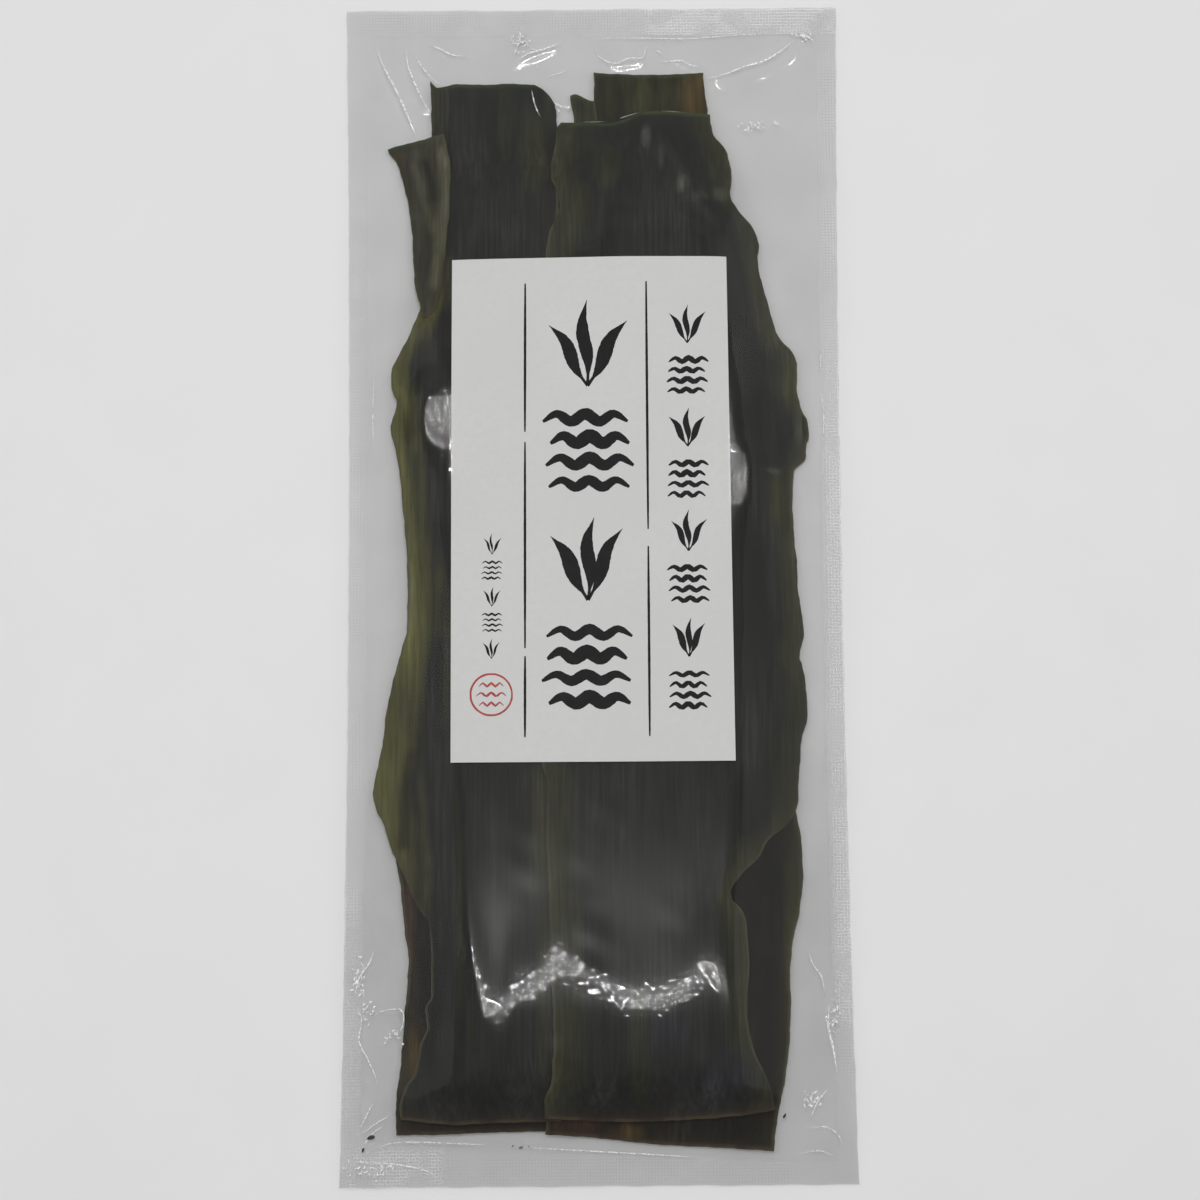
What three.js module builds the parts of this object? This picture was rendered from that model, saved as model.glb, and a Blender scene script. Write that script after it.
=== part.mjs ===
// A pack of dried kelp sheets, lying face up: a clear pouch sealed along its four sides over a flat
// pile of kelp, with a paper label on the front.
// Millimetres. +X is the pack's right, +Y its top end and +Z up from the table it lies on.
// The origin is on the table, under the middle of the pouch.

import * as THREE from 'three';

// Pouch
const POUCH_LENGTH = 361;
const POUCH_WIDTH = 153;
const WAIST_DRAW = 1.9;
const SIDE_SEAL = 6;
const TOP_SEAL = 8.5;
const BOTTOM_SEAL = 12;
const SEAL_THICKNESS = 0.6;
const END_LIFT = 0.9;
const WAIST_LIFT = 3.4;
const SEAL_RIPPLE = 0.22;
const SEAL_RIPPLE_ALONG = 83;
const SEAL_RIPPLE_ACROSS = 61;
const FOOT_INSET = 17;

// Film draped over the pile. It is pulled tighter across the pack than along it.
const FILM_COLUMNS = 60;
const FILM_ROWS = 56;
const FILM_SETTLING_ROUNDS = 400;
const FILM_CLEARANCE = 0.25;
const PULL_ACROSS = 0.8;
const PULL_ALONG = 0.2;

// Kelp
const EDGE_SOFTNESS = 1.6;
const LEAF_WAVE = 0.5;
const LEAF_WAVE_ALONG = 74;
const LEAF_WAVE_ACROSS = 58;
const LEAF_WAVE_SLANT = 1.3;

// Paper label
const LABEL_TOP = 98;
const LABEL_BOTTOM = -56;
const LABEL_LEFT = -43;
const LABEL_RIGHT = 41;
const LABEL_COLUMNS = 12;
const LABEL_ROWS = 20;
const LABEL_THICKNESS = 0.35;
const LABEL_GAP = 0.35;
const LABEL_BRIDGING = 1.2;

// Each sheet of kelp, from the back of the pile to the front. A side is a straight line, given by
// where it crosses the middle of the pack and its lean, with rounded lobes pushed out of it (or bays
// cut into it, where out is negative): at is the lobe's height up the pack, reach its half length.
const sheets = [
  {
    name: 'rear left sheet',
    thickness: 1.9,
    bottom: -165,
    top: 136,
    left: {
      middle: -56.5,
      lean: 0,
      lobes: [
        { at: 134, out: 5.5, reach: 12 },
        { at: 86, out: -4.5, reach: 13 },
        { at: 60, out: 4.2, reach: 8 },
        { at: 44, out: 4, reach: 8 },
        { at: -64, out: 9.5, reach: 22 },
        { at: -158, out: 3.2, reach: 30 },
      ],
    },
    right: { middle: 0.5, lean: 0, lobes: [] },
  },
  {
    name: 'rear right sheet',
    thickness: 1.9,
    bottom: -171,
    top: 158.5,
    left: { middle: 0.5, lean: 0, lobes: [] },
    right: {
      middle: 57,
      lean: 0,
      lobes: [
        { at: 150, out: -21, reach: 34 },
        { at: -120, out: -2, reach: 30 },
        { at: -171, out: -5, reach: 16 },
      ],
    },
  },
  {
    name: 'sheets within the pile',
    thickness: 4.8,
    bottom: -156,
    top: 134,
    left: { middle: -51, lean: 0, lobes: [{ at: -70, out: 4, reach: 40 }] },
    right: { middle: 52, lean: 0, lobes: [{ at: 134, out: -14, reach: 40 }] },
  },
  {
    name: 'small offcut',
    thickness: 1.3,
    bottom: 96,
    top: 151.5,
    left: { middle: -6.5, lean: 0, lobes: [] },
    right: { middle: 2, lean: 0, lobes: [] },
  },
  {
    name: 'front left sheet',
    thickness: 2.2,
    bottom: -162,
    top: 155,
    left: { middle: -46.5, lean: -0.012, lobes: [{ at: 60, out: -1.5, reach: 30 }] },
    right: { middle: -12.5, lean: 0, lobes: [{ at: 130, out: 2, reach: 22 }] },
  },
  {
    name: 'front right sheet',
    thickness: 2.4,
    bottom: -162,
    top: 143.5,
    left: {
      middle: -14.5,
      lean: 0,
      lobes: [
        { at: 138, out: -4.5, reach: 12 },
        { at: 114, out: -3, reach: 5 },
      ],
    },
    right: {
      middle: 60.5,
      lean: 0,
      lobes: [
        { at: 140, out: -24, reach: 20 },
        { at: 112, out: -14, reach: 12 },
        { at: 94, out: -8, reach: 14 },
        { at: 44, out: 4, reach: 11 },
        { at: -18, out: 1.5, reach: 6 },
        { at: -38, out: 2.3, reach: 9 },
        { at: -98, out: -17, reach: 14 },
        { at: -124, out: -14, reach: 14 },
        { at: -146, out: -9, reach: 12 },
      ],
    },
  },
  {
    name: 'folded margin at the top left',
    thickness: 1.7,
    bottom: 80,
    top: 137,
    left: {
      middle: -55,
      lean: 0,
      lobes: [
        { at: 136, out: 7, reach: 12 },
        { at: 80, out: -3, reach: 16 },
      ],
    },
    right: { middle: -43.5, lean: 0, lobes: [{ at: 84, out: -2.5, reach: 14 }] },
  },
];

// Folds of slack film between the pile and the seals, each a low ridge from one place to another.
const filmFolds = [
  { from: [-68, 170], to: [-54, 139], height: 2.2, width: 3.6 },
  { from: [-57, 170], to: [-49, 143], height: 1.9, width: 3.2 },
  { from: [-50, 170], to: [-37, 163], height: 1.2, width: 3 },
  { from: [-22, 176], to: [-23, 158], height: 1.6, width: 3 },
  { from: [-22, 162], to: [-7, 170], height: 1.2, width: 3 },
  { from: [14, 163], to: [21, 170], height: 1.4, width: 3 },
  { from: [36, 157], to: [66, 171], height: 2, width: 3.4 },
  { from: [44, 140], to: [66, 130], height: 1.3, width: 4 },
  { from: [-66, -114], to: [-70, -160], height: 1.5, width: 3 },
  { from: [-57, -130], to: [-66, -140], height: 1, width: 3 },
  { from: [64, -112], to: [70, -148], height: 1.5, width: 3 },
  { from: [60, -158], to: [71, -171], height: 1.2, width: 3.4 },
];

const smoothstep = THREE.MathUtils.smoothstep;
const lerp = THREE.MathUtils.lerp;

const wave = (distance, wavelength, phase) => Math.sin((2 * Math.PI * distance) / wavelength + phase);

// How far out from the pack's middle line one side of a sheet lies at height y.
function sideOfSheet(side, outward, y) {
  const lobes = side.lobes.reduce(
    (sum, lobe) => sum + lobe.out * Math.exp(-(((y - lobe.at) / lobe.reach) ** 2)),
    0,
  );
  return side.middle + side.lean * y + outward * lobes;
}

// 1 well inside the sheet, 0 well outside it, and a soft step across its edge.
function cover(sheet, x, y) {
  const left = sideOfSheet(sheet.left, -1, y);
  const right = sideOfSheet(sheet.right, 1, y);
  const across = Math.min(x - left, right - x);
  const along = Math.min(y - sheet.bottom, sheet.top - y);
  const inside = Math.min(across, along);
  return smoothstep(inside, -EDGE_SOFTNESS, EDGE_SOFTNESS);
}

// Top of the pile: the sheets' thickness where they overlap, with the gentle waves of dried leaf.
function pileHeight(x, y) {
  let height = 0;
  sheets.forEach((sheet, index) => {
    const along = wave(y + LEAF_WAVE_SLANT * x, LEAF_WAVE_ALONG, 1.7 * index);
    const across = wave(x, LEAF_WAVE_ACROSS, index);
    height += cover(sheet, x, y) * (sheet.thickness + LEAF_WAVE * along * across);
  });
  return height;
}

function distanceToFold(fold, x, y) {
  const [x0, y0] = fold.from;
  const [x1, y1] = fold.to;
  const along = ((x - x0) * (x1 - x0) + (y - y0) * (y1 - y0)) / ((x1 - x0) ** 2 + (y1 - y0) ** 2);
  const t = THREE.MathUtils.clamp(along, 0, 1);
  return Math.hypot(x - lerp(x0, x1, t), y - lerp(y0, y1, t));
}

function foldHeight(x, y) {
  let highest = 0;
  for (const fold of filmFolds) {
    const away = distanceToFold(fold, x, y) / fold.width;
    highest = Math.max(highest, fold.height * Math.exp(-(away ** 2)));
  }
  return highest;
}

// The pouch's outline is a rectangle whose long sides are drawn in by the pile.
function pouchPoint(u, v) {
  const y = lerp(-POUCH_LENGTH / 2, POUCH_LENGTH / 2, v);
  const draw = WAIST_DRAW * (1 - (2 * v - 1) ** 2);
  const x = lerp(-POUCH_WIDTH / 2 + draw, POUCH_WIDTH / 2 - draw, u);
  return [x, y];
}

// Height of the pouch's seals off the table: held up at the waist, low at the ends, a little rippled.
function sealLift(x, y) {
  const waist = 1 - ((2 * y) / POUCH_LENGTH) ** 2;
  const along = wave(y, SEAL_RIPPLE_ALONG, x > 0 ? 0.4 : 2.1);
  const across = wave(x, SEAL_RIPPLE_ACROSS, y > 0 ? 1.1 : 3);
  return END_LIFT + (WAIST_LIFT - END_LIFT) * waist + SEAL_RIPPLE * (along + across);
}

function isSeal(x, y) {
  const [edge] = pouchPoint(1, y / POUCH_LENGTH + 0.5);
  const besideLongSeal = Math.abs(x) > edge - SIDE_SEAL;
  const atTop = y > POUCH_LENGTH / 2 - TOP_SEAL;
  const atBottom = y < -POUCH_LENGTH / 2 + BOTTOM_SEAL;
  return besideLongSeal || atTop || atBottom;
}

// Film stretched over the pile: each point lies on the pile or on a fold, or else settles to the mean
// of its neighbours, while the seals hold it down all round.
function drapeFilm() {
  const points = [];
  for (let row = 0; row <= FILM_ROWS; row += 1) {
    points.push([]);
    for (let column = 0; column <= FILM_COLUMNS; column += 1) {
      const [x, y] = pouchPoint(column / FILM_COLUMNS, row / FILM_ROWS);
      const sealed = isSeal(x, y);
      const floor = sealed ? sealLift(x, y) + SEAL_THICKNESS : pileHeight(x, y) + FILM_CLEARANCE;
      points[row].push({ x, y, z: floor, floor, sealed });
    }
  }
  for (let round = 0; round < FILM_SETTLING_ROUNDS; round += 1) {
    for (let row = 1; row < FILM_ROWS; row += 1) {
      for (let column = 1; column < FILM_COLUMNS; column += 1) {
        const point = points[row][column];
        if (!point.sealed) {
          const across = (points[row][column - 1].z + points[row][column + 1].z) / 2;
          const along = (points[row - 1][column].z + points[row + 1][column].z) / 2;
          point.z = Math.max(point.floor, PULL_ACROSS * across + PULL_ALONG * along);
        }
      }
    }
  }
  for (const point of points.flat()) {
    if (!point.sealed) {
      point.z += foldHeight(point.x, point.y);
    }
  }
  return points;
}

const film = drapeFilm();

// Highest film within a window round a place, so that what lies on it clears every crest.
function highestFilm(x, y, reachX, reachY) {
  const isNear = (point) => Math.abs(point.x - x) < reachX && Math.abs(point.y - y) < reachY;
  return Math.max(...film.flat().filter(isNear).map((point) => point.z));
}

// Collects points and triangles into one closed body.
class Body {
  constructor() {
    this.corners = [];
    this.faces = [];
  }

  point(x, y, z) {
    return this.corners.push(x, y, z) / 3 - 1;
  }

  triangle(a, b, c) {
    this.faces.push(a, b, c);
  }

  quad(a, b, c, d) {
    this.triangle(a, b, c);
    this.triangle(a, c, d);
  }

  mesh(name, material) {
    const geometry = new THREE.BufferGeometry();
    geometry.setAttribute('position', new THREE.Float32BufferAttribute(this.corners, 3));
    geometry.setIndex(this.faces);
    geometry.computeVertexNormals();
    const mesh = new THREE.Mesh(geometry, material);
    mesh.name = name;
    return mesh;
  }
}

// The border of a grid of point numbers, once round counter-clockwise seen from above.
function borderOf(grid) {
  const rows = grid.length - 1;
  const columns = grid[0].length - 1;
  const bottom = grid[0].slice(0, columns);
  const right = grid.slice(0, rows).map((row) => row[columns]);
  const top = grid[rows].slice(1).reverse();
  const left = grid.slice(1).map((row) => row[0]).reverse();
  return [...bottom, ...right, ...top, ...left];
}

function addGrid(body, grid, facingUp) {
  for (let row = 0; row < grid.length - 1; row += 1) {
    for (let column = 0; column < grid[0].length - 1; column += 1) {
      const a = grid[row][column];
      const b = grid[row][column + 1];
      const c = grid[row + 1][column + 1];
      const d = grid[row + 1][column];
      if (facingUp) {
        body.quad(a, b, c, d);
      } else {
        body.quad(a, d, c, b);
      }
    }
  }
}

function addBand(body, upper, lower) {
  upper.forEach((corner, index) => {
    const next = (index + 1) % upper.length;
    body.quad(corner, lower[index], lower[next], upper[next]);
  });
}

// Pouch with its pile: the draped film above, a thin edge round the seals, and an underside that
// slopes in from the seals to a flat foot on the table.
function makePouch(material) {
  const body = new Body();
  const grid = film.map((row) => row.map((point) => body.point(point.x, point.y, point.z)));
  addGrid(body, grid, true);

  const rim = borderOf(grid);
  const borderPoints = borderOf(film);
  const lowerRim = borderPoints.map((point) => body.point(point.x, point.y, point.z - SEAL_THICKNESS));
  addBand(body, rim, lowerRim);

  const shrinkX = 1 - FOOT_INSET / (POUCH_WIDTH / 2);
  const shrinkY = 1 - FOOT_INSET / (POUCH_LENGTH / 2);
  const footOutline = borderPoints.map((point) => new THREE.Vector2(point.x * shrinkX, point.y * shrinkY));
  const foot = footOutline.map((point) => body.point(point.x, point.y, 0));
  addBand(body, lowerRim, foot);
  for (const [a, b, c] of THREE.ShapeUtils.triangulateShape(footOutline, [])) {
    body.triangle(foot[a], foot[c], foot[b]);
  }
  return body.mesh('bag', material);
}

// Paper label: a thin sheet that rides over the film's crests.
function makeLabel(material) {
  const body = new Body();
  const stepX = (LABEL_RIGHT - LABEL_LEFT) / LABEL_COLUMNS;
  const stepY = (LABEL_TOP - LABEL_BOTTOM) / LABEL_ROWS;
  const upper = [];
  const lower = [];
  for (let row = 0; row <= LABEL_ROWS; row += 1) {
    upper.push([]);
    lower.push([]);
    for (let column = 0; column <= LABEL_COLUMNS; column += 1) {
      const x = LABEL_LEFT + column * stepX;
      const y = LABEL_BOTTOM + row * stepY;
      const z = highestFilm(x, y, LABEL_BRIDGING * stepX, LABEL_BRIDGING * stepY) + LABEL_GAP;
      lower[row].push(body.point(x, y, z));
      upper[row].push(body.point(x, y, z + LABEL_THICKNESS));
    }
  }
  addGrid(body, upper, true);
  addGrid(body, lower, false);
  addBand(body, borderOf(upper), borderOf(lower));
  return body.mesh('label', material);
}

const filmOverKelp = new THREE.MeshStandardMaterial({ color: 0x3b3b35, roughness: 0.3, metalness: 0 });
const paper = new THREE.MeshStandardMaterial({ color: 0xc8c8c5, roughness: 0.8, metalness: 0 });

const pack = new THREE.Group();
pack.add(makePouch(filmOverKelp), makeLabel(paper));

export default pack;
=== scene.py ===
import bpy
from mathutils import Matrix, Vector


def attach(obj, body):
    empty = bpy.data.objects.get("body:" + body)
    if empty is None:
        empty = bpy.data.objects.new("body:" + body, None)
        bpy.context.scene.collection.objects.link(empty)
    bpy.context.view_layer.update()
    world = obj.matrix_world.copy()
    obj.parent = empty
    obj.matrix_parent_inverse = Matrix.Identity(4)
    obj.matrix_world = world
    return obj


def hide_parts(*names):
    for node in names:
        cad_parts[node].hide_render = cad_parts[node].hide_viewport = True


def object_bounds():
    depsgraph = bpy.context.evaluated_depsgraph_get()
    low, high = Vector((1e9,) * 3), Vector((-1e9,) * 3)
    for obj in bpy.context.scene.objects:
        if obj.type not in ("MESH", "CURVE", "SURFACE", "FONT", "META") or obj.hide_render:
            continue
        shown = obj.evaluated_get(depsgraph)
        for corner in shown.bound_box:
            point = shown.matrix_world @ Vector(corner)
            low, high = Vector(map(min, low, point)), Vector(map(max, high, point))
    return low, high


bl_info = {
    "name": "Pack of dried kelp sheets",
    "version": (1, 0, 0),
    "blender": (4, 5, 0),
    "location": "3D View > Sidebar > Kelp Pack",
    "description": "Dresses a clear pouch of dried kelp: leaves, film, creases, paper label and studio",
    "category": "Object",
}

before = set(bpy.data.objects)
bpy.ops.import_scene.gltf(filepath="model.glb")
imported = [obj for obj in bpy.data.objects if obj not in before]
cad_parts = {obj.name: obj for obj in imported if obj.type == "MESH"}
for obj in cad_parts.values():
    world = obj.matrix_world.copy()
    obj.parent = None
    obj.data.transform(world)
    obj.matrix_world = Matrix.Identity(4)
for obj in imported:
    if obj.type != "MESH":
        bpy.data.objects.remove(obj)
cad_low, cad_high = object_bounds()

import math
from functools import reduce

import bpy
import numpy as np
from bpy.props import FloatProperty, FloatVectorProperty, PointerProperty

# Places and sizes in this file are in millimetres, and become metres where a piece gets its points.
MM = 0.001

# The table is just below what rests on it, so that the two surfaces don't share a plane.
TABLE_TOP = -0.2

# Pouch, as the frame's solid has it
POUCH_WIDTH = (cad_high.x - cad_low.x) / MM
POUCH_LENGTH = (cad_high.y - cad_low.y) / MM
WAIST_DRAW = 1.9
END_LIFT = 0.9
WAIST_LIFT = 3.4
SEAL_RIPPLE = 0.22
UNDERSIDE_SLOPE = 17.0

# Film's crinkles over the kelp, and the weave pressed into its seals
CRINKLE_HEIGHT = 0.05
WEAVE_PITCH = 0.95

# Seals' inner lines. The bottom seal is wider at the left.
SIDE_SEAL = 6.0
TOP_SEAL_LINE = 171.5
BOTTOM_SEAL_LINE = -170.4
BOTTOM_SEAL_SLANT = -0.055
SEAL_GAP = 0.24

# Raster on which leaves are laid one on another and the film over them
CELL = 0.75
FOOT = 0.25

# Least clearance under a leaf, and clearance under the film and under the bed that a leaf settles on
LEAF_GAP = 0.06
FILM_GAP = 0.08

# Clearances of the creases and the label over the film, and of the back film over the table
CREASE_GAP = 0.06
LABEL_GAP = 0.06
BACK_GAP = 0.04

# Ceiling tubes, their size in metres, and the places up the pack where level film mirrors them
TUBE_HEIGHT = 1500.0
TUBE_SIZE = (0.5, 0.015)
NEAR_GLANCE = -120.0
FAR_GLANCE = 40.0

# Stretch of the pile over which the film evens out, how far it lifts there, and where that fades
LEVEL_LENGTH = 312.0
LEVEL_MIDDLE = -12.0
LEVEL_LIFT = 0.25
LEVEL_FADE = 26.0

# Rounds of softening: over the leaves' steps, over their crests, along the level stretch, and for slack
# film between the pile and the seals
STEP_ROUNDS = 80
CREST_ROUNDS = 30
LEVEL_ROUNDS = 300
SLACK_ROUNDS = 700

# Crest in the film that bends the near tube's reflection
CREST_HEIGHT = 0.5
CREST_WIDTH = 12.0

# How fast the film's slope that mirrors a tube grows up the pack, and how far the level patches beside
# the label are tilted off that slope
MIRROR_SLOPE = 0.00089
PATCH_TILT = 0.013

# Photo camera, which looks down at the pack from a little below its middle
CAMERA_PLACE = (0.4, -145.8, 898.1)
CAMERA_TILT = 8.85
CAMERA_ROLL = -0.41
CAMERA_LENS = 90.0

# What the steps hand on: the pile, and the heights of the film and of the label's bed
MADE = {}


def metres(*values):
    return tuple(value * MM for value in values)


# Smooth curves through a few chosen points


def smooth_curve(points):
    """A curve through points (where, value) that doesn't overshoot them."""
    points = sorted(points)
    at = np.array([p[0] for p in points], float)
    value = np.array([p[1] for p in points], float)
    slope = np.diff(value) / np.diff(at)
    tangent = np.zeros(len(at))
    turning = slope[:-1] * slope[1:] <= 0
    middle = 2 * slope[:-1] * slope[1:] / np.where(turning, 1, slope[:-1] + slope[1:])
    tangent[1:-1] = np.where(turning, 0, middle)
    tangent[0] = slope[0]
    tangent[-1] = slope[-1]

    def curve(where):
        where = np.clip(where, at[0], at[-1])
        index = np.clip(np.searchsorted(at, where) - 1, 0, len(at) - 2)
        width = at[index + 1] - at[index]
        t = (where - at[index]) / width
        start = (1 + 2 * t) * (1 - t) ** 2 * value[index] + t * (1 - t) ** 2 * width * tangent[index]
        finish = t * t * (3 - 2 * t) * value[index + 1] + t * t * (t - 1) * width * tangent[index + 1]
        return start + finish

    return curve


def ease(value, low, high):
    t = np.clip((value - low) / (high - low), 0, 1)
    return t * t * (3 - 2 * t)


def ripple(distance, wavelengths, seed):
    """A few sine waves of unequal length, together between about -1 and 1."""
    dice = np.random.default_rng(seed)
    total = np.zeros_like(distance)
    for wavelength in wavelengths:
        total = total + np.sin(2 * math.pi * distance / wavelength + dice.uniform(0, 2 * math.pi))
    return total / len(wavelengths)


def oval_share(x, y, oval):
    """Distance from the middle of an oval (across, up, half width, half height), 1 at its rim."""
    return np.hypot((x - oval[0]) / oval[2], (y - oval[1]) / oval[3])


def oval_mask(x, y, ovals, low, high):
    """1 in the middle of each oval, falling to 0 between those two shares of its reach."""
    mask = np.zeros_like(x)
    for oval in ovals:
        mask = np.maximum(mask, 1 - ease(oval_share(x, y, oval), low, high))
    return mask


def path_distance(x, y, path):
    """Distance to a path of straight stretches, and how far along it the nearest point is, 0 to 1."""
    nearest = np.full_like(x, 1e9)
    along = np.zeros_like(x)
    lengths = [math.dist(a, b) for a, b in zip(path, path[1:])]
    passed = 0.0
    for (x0, y0), (x1, y1), length in zip(path, path[1:], lengths):
        t = np.clip(((x - x0) * (x1 - x0) + (y - y0) * (y1 - y0)) / length**2, 0, 1)
        away = np.hypot(x - x0 - t * (x1 - x0), y - y0 - t * (y1 - y0))
        closer = away < nearest
        nearest = np.where(closer, away, nearest)
        along = np.where(closer, (passed + t * length) / sum(lengths), along)
        passed += length
    return nearest, along


# Raster of heights


def soften(field, rounds, axes=(0, 1)):
    """Each cell takes a quarter of each neighbour's value, along one axis or both, round after round."""
    for _ in range(rounds):
        for axis in axes:
            edges = [(1, 1) if axis == other else (0, 0) for other in (0, 1)]
            field = np.swapaxes(np.pad(field, edges, mode="edge"), 0, axis)
            field = np.swapaxes(0.25 * field[:-2] + 0.5 * field[1:-1] + 0.25 * field[2:], 0, axis)
    return field


def widen(field, cells):
    """Each cell takes the highest value within so many cells of it."""
    for _ in range(cells):
        field = np.pad(field, 1, mode="edge")
        sideways = np.maximum(np.maximum(field[1:-1, :-2], field[1:-1, 2:]), field[1:-1, 1:-1])
        field = np.maximum(sideways, np.maximum(field[:-2, 1:-1], field[2:, 1:-1]))
    return field


def soften_inside(field, mask, rounds, axes=(0, 1)):
    """Softens a field by its values inside the mask alone, and carries them on past its border."""
    weight = mask.astype(float)
    return soften(field * weight, rounds, axes) / np.maximum(soften(weight, rounds, axes), 1e-9)


def cubic_shares(t):
    """Shares of four neighbours, which sum to 1, for a place t between the middle two."""
    near = (3 * t**3 - 6 * t**2 + 4) / 6
    far = (1 + 3 * t + 3 * t**2 - 3 * t**3) / 6
    return (1 - t) ** 3 / 6, near, far, t**3 / 6


class Pile:
    """Height of the pile of leaves so far, on a raster over the whole pouch."""

    def __init__(self):
        half_width = math.ceil(POUCH_WIDTH / 2 / CELL) * CELL
        half_length = math.ceil(POUCH_LENGTH / 2 / CELL) * CELL
        self.x = np.arange(-half_width, half_width + CELL / 2, CELL)
        self.y = np.arange(-half_length, half_length + CELL / 2, CELL)
        self.across, self.along = np.meshgrid(self.x, self.y)
        self.top = np.full_like(self.across, FOOT)
        self.covered = np.zeros(self.across.shape, bool)

    def sample(self, field, x, y):
        """Value between the raster's cells, by smooth cubic shares of the four nearest each way."""
        column = np.clip((x - self.x[0]) / CELL, 1, len(self.x) - 2.001)
        row = np.clip((y - self.y[0]) / CELL, 1, len(self.y) - 2.001)
        c = column.astype(int)
        r = row.astype(int)
        total = 0.0
        for up, share_up in enumerate(cubic_shares(row - r)):
            for across, share_across in enumerate(cubic_shares(column - c)):
                total = total + share_up * share_across * field[r + up - 1, c + across - 1]
        return total

    def bed_for(self, mask, stiffness):
        """Underside of a stiff leaf that lies on the pile: it bridges dips and rests on crests."""
        resting = np.where(mask, self.top + FILM_GAP, 0)
        bed = resting
        for _ in range(stiffness):
            bed = np.where(mask, np.maximum(resting, soften_inside(bed, mask, 3)), 0)
        return soften_inside(bed, mask, 2)


# Leaves

LEAF_LOOKS = {
    "sunk": 0.0,
    "thickness": 1.6,
    "margin_thickness": 0.5,
    "margin_width": 7.0,
    "ruffle": 0.35,
    "ribs": 0.16,
    "droop": 1.4,
    "ragged": 0.22,
    "folds": (),
    "plain_right": False,
    "pale_span": (-200, 200),
    "tone": "dark",
}


class Leaf:
    """One sheet of kelp. Its sides are given as (height up the pack, place across it) and its ends as
    (place across the pack, height up it), as the camera sees them. An edge which lies lower than that
    by sunk millimetres is moved out along the camera's rays."""

    def __init__(self, name, left, right, bottom, top, **looks):
        self.name = name
        vars(self).update(LEAF_LOOKS, **looks)
        camera_x, camera_y, camera_z = CAMERA_PLACE
        away = 1 + self.sunk / camera_z

        def moved(x, y):
            return camera_x + (x - camera_x) * away, camera_y + (y - camera_y) * away

        self.left = smooth_curve([moved(x, y)[::-1] for y, x in left])
        self.right = smooth_curve([moved(x, y)[::-1] for y, x in right])
        self.bottom = smooth_curve([moved(x, y) for x, y in bottom])
        self.top = smooth_curve([moved(x, y) for x, y in top])

    def sides(self, y):
        rough_left = self.ragged * ripple(y, (3.1, 5.7, 11.0), self.seed)
        rough_right = self.ragged * ripple(y, (2.9, 6.1, 12.0), self.seed + 50)
        return self.left(y) + rough_left, self.right(y) + rough_right

    def ends(self, x):
        rough = 0.5 * self.ragged * ripple(x, (3.7, 8.3), self.seed + 90)
        return self.bottom(x) + rough, self.top(x) - rough

    def inside(self, x, y):
        """Distance in from the nearest edge, below 0 outside the leaf."""
        left, right = self.sides(y)
        bottom, top = self.ends(x)
        return np.minimum(np.minimum(x - left, right - x), np.minimum(y - bottom, top - y))

    def from_margin(self, x, y):
        """How far in from its pale margin a place is: 0 on the leaf's side, 1 past the margin."""
        left, right = self.sides(y)
        depth = x - left if self.plain_right else np.minimum(x - left, right - x)
        low, high = self.pale_span
        pale = ease(y, low - 20, low + 20) * (1 - ease(y, high - 20, high + 20))
        return 1 - pale * (1 - np.clip(depth / self.margin_width, 0, 1))

    def place(self, u, v):
        """Point of the leaf for u across it and v up it, both from 0 to 1."""
        def end_of(number, guess):
            for _ in range(3):
                left, right = self.sides(guess)
                guess = self.ends(left + u * (right - left))[number]
            return guess

        foot_left = self.left(np.full_like(u, self.bottom(0.0)))
        foot_right = self.right(self.bottom(u))
        low = end_of(0, self.bottom(foot_left * (1 - u) + u * foot_right))
        high = end_of(1, self.top(0.0 * u))
        y = low + v * (high - low)
        left, right = self.sides(y)
        return left + u * (right - left), y

    def share_of_body(self, inside):
        """Share of its thickness that the leaf has so far in from its edge."""
        return self.margin_thickness + (1 - self.margin_thickness) * ease(inside, 0.0, self.margin_width)

    def relief(self, x, y):
        """Folds raised out of the leaf or pressed into it, as a height."""
        height = np.zeros_like(x)
        for path, rise, width in self.folds:
            away, along = path_distance(x, y, path)
            fade = ease(along, 0.0, 0.12) * (1 - ease(along, 0.88, 1.0))
            height = height + rise * fade * np.exp(-((away / width) ** 2))
        return height

    def waves(self, x, y, inside):
        ribs = ripple(x + 2.5 * ripple(y, (90.0, 140.0), self.seed), (7.3, 11.0, 19.0), self.seed + 7)
        ruffle = ripple(y, (23.0, 37.0, 14.0), self.seed + 11)
        near_edge = np.exp(-np.clip(inside, 0, None) / 5.0) * ease(np.abs(x), 28, 46)
        return self.ribs * (1 + ribs) + self.ruffle * (1 + ruffle) * near_edge


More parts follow.
